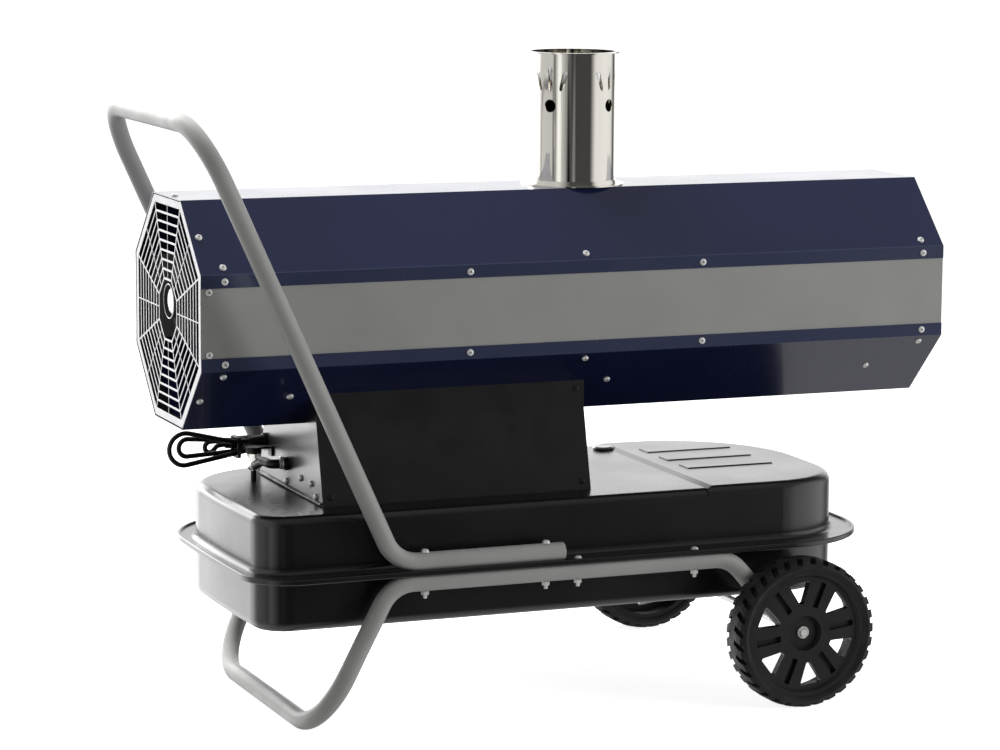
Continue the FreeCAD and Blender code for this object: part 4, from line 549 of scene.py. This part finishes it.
def make_camera():
    a = math.radians(AZIMUTH)
    e = math.radians(ELEVATION)
    r = math.radians(ROLL)
    back = Vector((math.sin(a) * math.cos(e), -math.cos(a) * math.cos(e), math.sin(e)))
    level = Vector((math.cos(a), math.sin(a), 0))
    above = back.cross(level)
    right = level * math.cos(r) + above * math.sin(r)
    up = back.cross(right)
    data = bpy.data.cameras.new("camera")
    data.lens = LENS
    data.sensor_width = SENSOR
    data.clip_end = CLIP_END
    camera = link(bpy.data.objects.new("camera", data))
    place = Matrix((right, up, back)).transposed().to_4x4()
    place.translation = AIM + back * DISTANCE
    camera.matrix_world = place
    bpy.context.scene.camera = camera


# Mains lead

def touching(left, left_r, right, right_r):
    # Normals, in the XZ plane, of the straight runs above and below two circles.
    between = left - right
    along = between.normalized()
    across = Vector((-along.z, 0, along.x))
    if across.z < 0:
        across = -across
    lean = (right_r - left_r) / between.length
    rise = math.sqrt(1 - lean * lean)
    return along * lean + across * rise, along * lean - across * rise


def turn_points(centre, radius, start, end, outward):
    # Control points round one turn, from one normal through the outward side to the other,
    # with one more on the straight run at each end.
    half = start.angle(outward) + outward.angle(end)
    side = 1.0 if start.cross(outward).y > 0 else -1.0
    reach = radius / math.cos(half / 2 / TURN_POINTS)
    lead = radius * math.tan(half / 2 / TURN_POINTS)
    axis = Vector((0, side, 0))
    points = [centre + start * radius - axis.cross(start) * lead]
    for i in range(TURN_POINTS):
        turn = Matrix.Rotation(side * half * (i + 0.5) / TURN_POINTS, 3, "Y")
        points.append(centre + (turn @ start) * reach)
    points.append(centre + end * radius + axis.cross(end) * lead)
    return points


def spread_along_y(points, before, y, step):
    # Moves a row of points across by one step, evenly over its length.
    row = [before] + points
    gaps = [math.hypot(b.x - a.x, b.z - a.z) for a, b in zip(row, row[1:])]
    gone = 0.0
    for point, gap in zip(points, gaps):
        gone += gap
        point.y = y + step * gone / sum(gaps)


def hank_points():
    # Straight out of the gland, round each loop's left turn and the shared fold at the right, into the plug.
    right = Vector((PLATE_X - FOLD_OFF_PLATE, 0, FOLD_Z))
    exit_x = PLATE_X - GLAND_LENGTH
    offs = (0.0, LEAD_LENGTH, LEAD_LENGTH + LEAD_STRAIGHT)
    points = [Vector((exit_x - off, CORD_Y, CORD_Z)) for off in offs]
    away = Vector((-1, 0, 0))
    y = CORD_Y
    for k, (off, z, radius, step) in enumerate(LOOPS):
        left = Vector((PLATE_X - off, 0, z))
        upper, lower = touching(left, radius, right, FOLD_R)
        if k + 1 == len(LOOPS):
            plug_in = Vector((PLATE_X - PLUG_OFF_PLATE, 0, PLUG_Z)) + away * PLUG_RUN
            lower = touching(left, radius, plug_in, 0.0)[1]
            loop = turn_points(left, radius, upper, lower, away) + [plug_in]
        else:
            loop = turn_points(left, radius, upper, lower, away)
            after = LOOPS[k + 1]
            next_left = Vector((PLATE_X - after[0], 0, after[1]))
            next_upper = touching(next_left, after[2], right, FOLD_R)[0]
            loop += turn_points(right, FOLD_R, lower, next_upper, -away)
        spread_along_y(loop, points[-1], y, step)
        points += loop
        y += step
    return points + [Vector((PLATE_X - PLUG_OFF_PLATE, y, PLUG_Z))]


def make_cord():
    points = hank_points()
    curve = bpy.data.curves.new("mains_lead", "CURVE")
    curve.dimensions = "3D"
    curve.bevel_depth = CORD_R
    curve.bevel_resolution = 4
    curve.resolution_u = 8
    curve.use_fill_caps = True
    spline = curve.splines.new("NURBS")
    spline.points.add(len(points) - 1)
    for place, point in zip(spline.points, points):
        place.co = (*point, 1.0)
    spline.order_u = 3
    spline.use_endpoint_u = True
    cord = link(bpy.data.objects.new("mains_lead", curve))
    dress(cord, MATERIALS["cord_black"])
    stands_for(cord, "heater", "cord_black", "cord_lead", "cord_hank")


# Screws with domed heads and a cross recess

def cross(angle):
    # How far a cross recess reaches in a direction, as a share of the head's radius.
    return RECESS_CORE + RECESS_ARM * max(0.0, math.cos(4 * angle)) ** 2


def screw_head(bm, matrix, radius, height, shell):
    # A pan head with a cross recess, whose faces take material 1, the painted shade; shell is the material
    # index of the head.
    profile = [(along * height, share * radius) for along, share in SCREW_PAN]
    profile += [(height, cross), (RECESS_FLOOR * height, cross), (RECESS_FLOOR * height, 0.0)]
    bands = [shell] * len(SCREW_PAN) + [1, 1]
    lathe(bm, profile, SCREW_STEPS, matrix, bands, radius)


def dress_screws(node, piece, material, slot, end_material=None):
    # Heads on an end plate, which look along X, can have a material of their own.
    bm = bmesh.new()
    for k, points in enumerate(loose_parts(node)):
        middle = middle_of(points)
        direction = flat_direction(points, middle)
        heights = [(p - middle).dot(direction) for p in points]
        low = min(heights)
        height = max(heights) - low
        radius = max((p - middle - direction * up).length for p, up in zip(points, heights))
        matrix = facing(middle + direction * low, direction, SCREW_SPIN * k)
        shell = 0
        if end_material and abs(direction.x) > 0.5:
            radius = END_HEAD_R
            height = END_HEAD_HEIGHT
            shell = 2
        screw_head(bm, matrix, radius, height, shell)
    obj = new_mesh(piece, bm, False)
    smooth_by_angle(obj, SCREW_SMOOTH)
    dress(obj, material, RECESS_PAINTED_SHADE, end_material or material)
    stands_for(obj, "heater", slot, node)


def flat_direction(points, middle):
    # The direction in which a head is thinnest, pointing away from the heater's axis.
    best = None
    for i in range(2 * OCT_SIDES):
        for tilt in (0.0, FACE_TILT, -FACE_TILT):
            a = OCT_HALF * i + tilt
            direction = Vector((0, math.cos(a), math.sin(a)))
            reach = [(p - middle).dot(direction) for p in points]
            size = max(reach) - min(reach)
            if best is None or size < best[0] - SAME:
                best = (size, direction)
    ahead = [p.x - middle.x for p in points]
    if max(ahead) - min(ahead) < best[0] - SAME:
        return Vector((-1, 0, 0))
    outward = Vector((0, middle.y, middle.z - AXIS_Z))
    direction = best[1]
    return direction if direction.dot(outward) > 0 else -direction


# Fan guard

def ring_bar(bm, centre, near, far, front, back):
    # One eight-sided ring with softened front edges, from one half width across flats to another.
    soft = GUARD_EDGE
    profile = ((back, near), (front + soft, near), (front, near + soft), (front, far - soft),
               (front + soft, far), (back, far), (back, near))
    place = facing(centre, Vector((1, 0, 0)), OCT_HALF)
    lathe(bm, [(along, radius * OCT_CORNER) for along, radius in profile], OCT_SIDES, place)


def spoke_bar(bm, centre, angle, near, far, width, front, back):
    # One straight spoke with softened front edges.
    out = Vector((0, math.cos(angle), math.sin(angle)))
    side = Vector((0, -math.sin(angle), math.cos(angle)))
    half = width / 2
    soft = GUARD_EDGE
    section = ((-half, back), (-half, front + soft), (soft - half, front), (half - soft, front),
               (half, front + soft), (half, back))
    ends = []
    for reach in (near, far):
        foot = centre + out * reach
        ends.append([bm.verts.new(foot + side * across + Vector((x, 0, 0))) for across, x in section])
    join_ends(bm, *ends)


def make_guard():
    low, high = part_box("fan_guard")
    centre = box_middle("fan_guard")
    centre.x = CASING_INLET + GUARD_FRONT
    outer = (high.z - low.z) / 2
    border = outer - GUARD_BORDER
    pitch = (border - GUARD_OPENING) / GUARD_ROWS
    bm = bmesh.new()
    ring_bar(bm, centre, border, outer, 0.0, GUARD_SHEET)
    ring_bar(bm, centre, outer - GUARD_SHEET, outer, GUARD_EDGE, high.x - centre.x)
    for row in range(GUARD_ROWS):
        inner = GUARD_OPENING + pitch * row
        ring_bar(bm, centre, inner, inner + GUARD_BAR, 0.0, GUARD_SHEET)
    near = GUARD_OPENING + GUARD_BAR / 2
    far = border + GUARD_BAR / 2
    depth = (GUARD_BEHIND, GUARD_SHEET - GUARD_BEHIND)
    for k in range(OCT_SIDES):
        flat = 2 * OCT_HALF * k
        spoke_bar(bm, centre, flat, near, far, GUARD_MIDDLE, *depth)
        spoke_bar(bm, centre, flat + OCT_HALF, near * OCT_CORNER, far * OCT_CORNER, GUARD_CORNER, *depth)
    guard = new_mesh("guard", bm, False)
    smooth_by_angle(guard, GUARD_SMOOTH)
    dress(guard, MATERIALS["guard_paint_and_painted_shade"])
    stands_for(guard, "heater", "guard_white", "fan_guard")


# Fan motor's end cap: a bright dome in a ring on a black end shield, with painted shade in black on the
# cup's inner wall

def make_motor_cap():
    start = box_middle("motor_end_cap")
    start.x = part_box("motor_end_cap")[0].x - CAP_FRONT
    bm = bmesh.new()
    profile = [(along, radius) for along, radius, band in CAP_BANDS]
    bands = [band for along, radius, band in CAP_BANDS]
    lathe(bm, profile, CAP_STEPS, facing(start, Vector((1, 0, 0))), bands)
    cap = new_mesh("motor_cap", bm)
    dress(cap, MATERIALS["motor_alloy"], MATERIALS["shield_black"])
    stands_for(cap, "heater", "motor_alloy", "motor_end_cap")


# Flue pipe with slots, tongues and holes

def on_flue(angle, radius, height):
    a = math.radians(angle)
    return FLUE_FOOT + Vector((radius * math.cos(a), radius * math.sin(a), height))


def slot_at(angle, k, share):
    # Middle and half width of a slot, from its foot at 0 to its top at 1.
    spread = SLOT_FOOT_ANGLES[k] + (SLOT_TOP_ANGLES[k] - SLOT_FOOT_ANGLES[k]) * share
    height = FLUE_HEIGHT - FLUE_HOLE_DOWN + SLOT_FOOT + (SLOT_TOPS[k] - SLOT_FOOT) * share
    width = SLOT_FOOT_WIDTH + (SLOT_TOP_WIDTH - SLOT_FOOT_WIDTH) * share
    return angle + spread, height, math.degrees(width / 2 / FLUE_R)


def slot_outline(angle, k):
    # Corners of a slot that is rounded at its foot and pointed at its top.
    left = []
    right = []
    for share, full in SLOT_OUTLINE:
        middle, height, half = slot_at(angle, k, share)
        left.append((middle - half * full, height))
        right.append((middle + half * full, height))
    return right + left[::-1]


def through_cut(bm, outline):
    # A closed block through the wall, from inside the pipe to outside it.
    inner = [bm.verts.new(on_flue(angle, FLUE_R * CUT_INSIDE, height)) for angle, height in outline]
    outer = [bm.verts.new(on_flue(angle, FLUE_R * CUT_OUTSIDE, height)) for angle, height in outline]
    join_ends(bm, inner, outer)


def add_tongue(bm, angle, k):
    # The strip that was cut free, still joined at its top and bent into the pipe.
    rows = []
    for i in range(TONGUE_STEPS + 1):
        share = 1.0 - TONGUE_SHARE * i / TONGUE_STEPS
        middle, height, half = slot_at(angle, k, share)
        radius = FLUE_R - FLUE_SHEET / 2 - TONGUE_BEND * (i / TONGUE_STEPS) ** 2
        full = TONGUE_TOP - TONGUE_TAPER * i / TONGUE_STEPS
        places = [on_flue(middle + half * full * side, radius, height) for side in (-1, 0, 1)]
        rows.append([bm.verts.new(place) for place in places])
    for low, high in zip(rows, rows[1:]):
        for i in range(2):
            bm.faces.new((low[i], low[i + 1], high[i + 1], high[i]))


def cut_by(obj, cutter):
    # Cuts one mesh by another for good, and deletes the cutter.
    cut = obj.modifiers.new("cut", "BOOLEAN")
    cut.operation = "DIFFERENCE"
    cut.solver = "EXACT"
    cut.object = cutter
    made = obj.evaluated_get(bpy.context.evaluated_depsgraph_get())
    shape = bpy.data.meshes.new_from_object(made)
    obj.modifiers.clear()
    obj.data = shape
    bpy.data.objects.remove(cutter)


def make_flue():
    inner = FLUE_R - FLUE_SHEET
    rim = FLUE_HEIGHT - FLUE_RIM
    profile = ((0, inner), (0, FLUE_R), (rim, FLUE_R), (rim, FLUE_RIM_R), (FLUE_HEIGHT, FLUE_RIM_R),
               (FLUE_HEIGHT, inner), (0, inner))
    bm = bmesh.new()
    lathe(bm, profile, FLUE_STEPS, Matrix.Translation(FLUE_FOOT))
    bmesh.ops.remove_doubles(bm, verts=bm.verts, dist=SAME)
    bmesh.ops.recalc_face_normals(bm, faces=bm.faces)
    pipe = new_mesh("flue", bm, False)
    cuts = bmesh.new()
    tongues = bmesh.new()
    hole_height = FLUE_HEIGHT - FLUE_HOLE_DOWN
    hole_spread = math.degrees(FLUE_HOLE_R / FLUE_R)
    turns = [2 * math.pi * i / HOLE_STEPS for i in range(HOLE_STEPS)]
    for group in range(FLUE_GROUPS):
        angle = FLUE_FIRST + 360.0 / FLUE_GROUPS * group
        hole = []
        for turn in turns:
            hole.append((angle + hole_spread * math.cos(turn), hole_height + FLUE_HOLE_R * math.sin(turn)))
        through_cut(cuts, hole)
        for k in range(len(SLOT_TOPS)):
            through_cut(cuts, slot_outline(angle, k))
            add_tongue(tongues, angle, k)
    bmesh.ops.recalc_face_normals(cuts, faces=cuts.faces)
    cut_by(pipe, new_mesh("flue_cuts", cuts, False))
    pipe.data.name = "flue"
    smooth_by_angle(pipe)
    dress(pipe, MATERIALS["flue_steel"])
    stands_for(pipe, "heater", "flue_steel", "flue_pipe")
    bent = new_mesh("flue_tongues", tongues)
    sheet = bent.modifiers.new("sheet", "SOLIDIFY")
    sheet.thickness = TONGUE_SHEET
    sheet.offset = 0.0
    # The tongues' pale colour is a painted reflection.
    dress(bent, MATERIALS["tongue_painted_reflection"])
    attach(bent, "heater")


# Push nuts on the axle's ends, frame bolts, and the hose clamp

def make_push_nuts():
    bm = bmesh.new()
    axis = box_middle("axle")
    axis.y = 0.0
    for points in loose_parts("axle_push_nuts"):
        out = Vector((0, math.copysign(1.0, middle_of(points).y), 0))
        low = min(p.dot(out) for p in points)
        lathe(bm, PUSH_NUT, NUT_STEPS, facing(axis + out * low, out))
    nuts = new_mesh("push_nuts", bm, False)
    smooth_by_angle(nuts)
    dress(nuts, MATERIALS["screw_zinc"])
    stands_for(nuts, "heater", "screw_zinc", "axle_push_nuts")


def bolt_profile(length):
    # From the threaded end up to a domed head with a flange.
    profile = list(BOLT_TIP)
    for i in range(THREADS):
        crest = THREAD_START + THREAD_PITCH * i
        profile += [(crest, BOLT_R), (crest + THREAD_PITCH / 2, THREAD_ROOT)]
    profile.append((THREAD_START + THREAD_PITCH * THREADS, BOLT_R))
    seat = length - BOLT_HEAD
    profile += [(seat + up, radius) for up, radius in BOLT_HEAD_SIDE]
    return profile + [(length, BOLT_CROWN_R), (length, 0.0)]


def make_bolts():
    bm = bmesh.new()
    for points in loose_parts("frame_bolts"):
        foot = min(p.z for p in points)
        x = (min(p.x for p in points) + max(p.x for p in points)) / 2
        y = (min(p.y for p in points) + max(p.y for p in points)) / 2
        length = max(p.z for p in points) - foot
        lathe(bm, bolt_profile(length), SMALL_STEPS, Matrix.Translation((x, y, foot)))
    bolts = new_mesh("bolts", bm, False)
    smooth_by_angle(bolts)
    dress(bolts, MATERIALS["screw_zinc"])
    stands_for(bolts, "heater", "screw_zinc", "frame_bolts")


# Hose clamp: a band with a raised edge on each side and a screw housing

def make_hose_clamp():
    start = box_middle("hose_gland")
    start.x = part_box("hose_gland")[0].x - CLAMP_AWAY
    bm = bmesh.new()
    raised = CLAMP_R + CLAMP_EDGE
    profile = ((0, HOSE_R), (0, CLAMP_R), (CLAMP_EDGE, raised), (2 * CLAMP_EDGE, CLAMP_R),
               (CLAMP_WIDTH - 2 * CLAMP_EDGE, CLAMP_R), (CLAMP_WIDTH - CLAMP_EDGE, raised),
               (CLAMP_WIDTH, CLAMP_R), (CLAMP_WIDTH, HOSE_R), (0, HOSE_R))
    lathe(bm, profile, CLAMP_STEPS, facing(start, Vector((-1, 0, 0))))
    screw = start + Vector((-CLAMP_WIDTH / 2, -CLAMP_WIDTH, CLAMP_R + 2 * CLAMP_EDGE))
    lathe(bm, CLAMP_SCREW, SMALL_STEPS, facing(screw, Vector((0, 1, 0))))
    clamp = new_mesh("hose_clamp", bm, False)
    smooth_by_angle(clamp)
    dress(clamp, MATERIALS["screw_zinc"])
    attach(clamp, "heater")


# Trim along the inlet plate's foot, a half-round strip that lies on the tank

def make_foot_trim():
    low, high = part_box("housing_end_inlet")
    bm = bmesh.new()
    turns = [math.pi / 2 * i / TRIM_STEPS for i in range(TRIM_STEPS + 1)]
    section = [(-TRIM_R * math.sin(turn), TRIM_R * math.cos(turn)) for turn in turns]
    section.append((0.0, 0.0))
    ends = []
    for y in (low.y + TRIM_R, high.y - TRIM_R):
        ends.append([bm.verts.new((low.x + x, y, low.z + z)) for x, z in section])
    join_ends(bm, *ends)
    bmesh.ops.recalc_face_normals(bm, faces=bm.faces)
    trim = new_mesh("plate_foot_trim", bm, False)
    smooth_by_angle(trim)
    dress(trim, MATERIALS["hose_black"])
    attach(trim, "heater")


# Stage

def ramp_node(tree, value, start, end, amount):
    ramp = tree.nodes.new("ShaderNodeMapRange")
    ramp.interpolation_type = "SMOOTHSTEP"
    ramp.inputs["From Min"].default_value = start
    ramp.inputs["From Max"].default_value = end
    ramp.inputs["To Max"].default_value = amount
    tree.links.new(value, ramp.inputs["Value"])
    return ramp.outputs["Result"]


def make_stage():
    # A white floor that glows, so that the object stands on a bright studio sweep.
    bm = bmesh.new()
    reach = FLOOR_REACH
    corners = ((-reach, -reach), (reach, -reach), (reach, reach), (-reach, reach))
    bm.faces.new([bm.verts.new((x, y, 0)) for x, y in corners])
    floor = new_mesh("floor", bm)
    look = Look("floor", (0.45, 0.45, 0.45), 0.9)
    look.set("Emission Color", (1.0, 1.0, 1.0, 1.0)).set("Emission Strength", FLOOR_GLOW)
    look.set("Specular IOR Level", 0.0)
    dress(floor, look.material)
    floor.visible_glossy = False
    floor.visible_diffuse = False


def make_world():
    # An even base with the soft lobes of light added up on it.
    world = bpy.data.worlds.new("studio")
    world.use_nodes = True
    tree = world.node_tree
    background = tree.nodes["Background"]
    direction = tree.nodes.new("ShaderNodeTexCoord").outputs["Generated"]
    total = None
    for towards, start, full, strength in SKY_LOBES:
        dot = tree.nodes.new("ShaderNodeVectorMath")
        dot.operation = "DOT_PRODUCT"
        dot.inputs[1].default_value = Vector(towards).normalized()
        tree.links.new(direction, dot.inputs[0])
        lobe = ramp_node(tree, dot.outputs["Value"], start, full, strength)
        add = tree.nodes.new("ShaderNodeMath")
        add.inputs[0].default_value = SKY_BASE
        if total is not None:
            tree.links.new(total, add.inputs[0])
        tree.links.new(lobe, add.inputs[1])
        total = add.outputs["Value"]
    background.inputs["Color"].default_value = (1.0, 1.0, 1.0, 1.0)
    tree.links.new(total, background.inputs["Strength"])
    bpy.context.scene.world = world


def area_light(name, place, aim, size, power):
    data = bpy.data.lights.new(name, "AREA")
    data.shape = "RECTANGLE"
    data.size, data.size_y = size
    data.energy = power
    light = link(bpy.data.objects.new(name, data))
    light.location = place
    light.rotation_mode = "QUATERNION"
    light.rotation_quaternion = (Vector(place) - Vector(aim)).to_track_quat("Z", "Y")
    light.visible_glossy = False


make_camera()
make_cord()
make_guard()
make_motor_cap()
make_flue()
make_push_nuts()
make_bolts()
make_foot_trim()
make_hose_clamp()
dress_screws("casing_screws", "casing_screw_heads", MATERIALS["screw_zinc"], "screw_zinc")
dress_screws("housing_screws", "housing_screw_heads", MATERIALS["housing_black"], "housing_black",
             MATERIALS["screw_zinc"])

make_stage()
make_world()
area_light("key", *KEY_LIGHT)
area_light("fill", *FILL_LIGHT)
bpy.context.scene.view_settings.view_transform = "Standard"
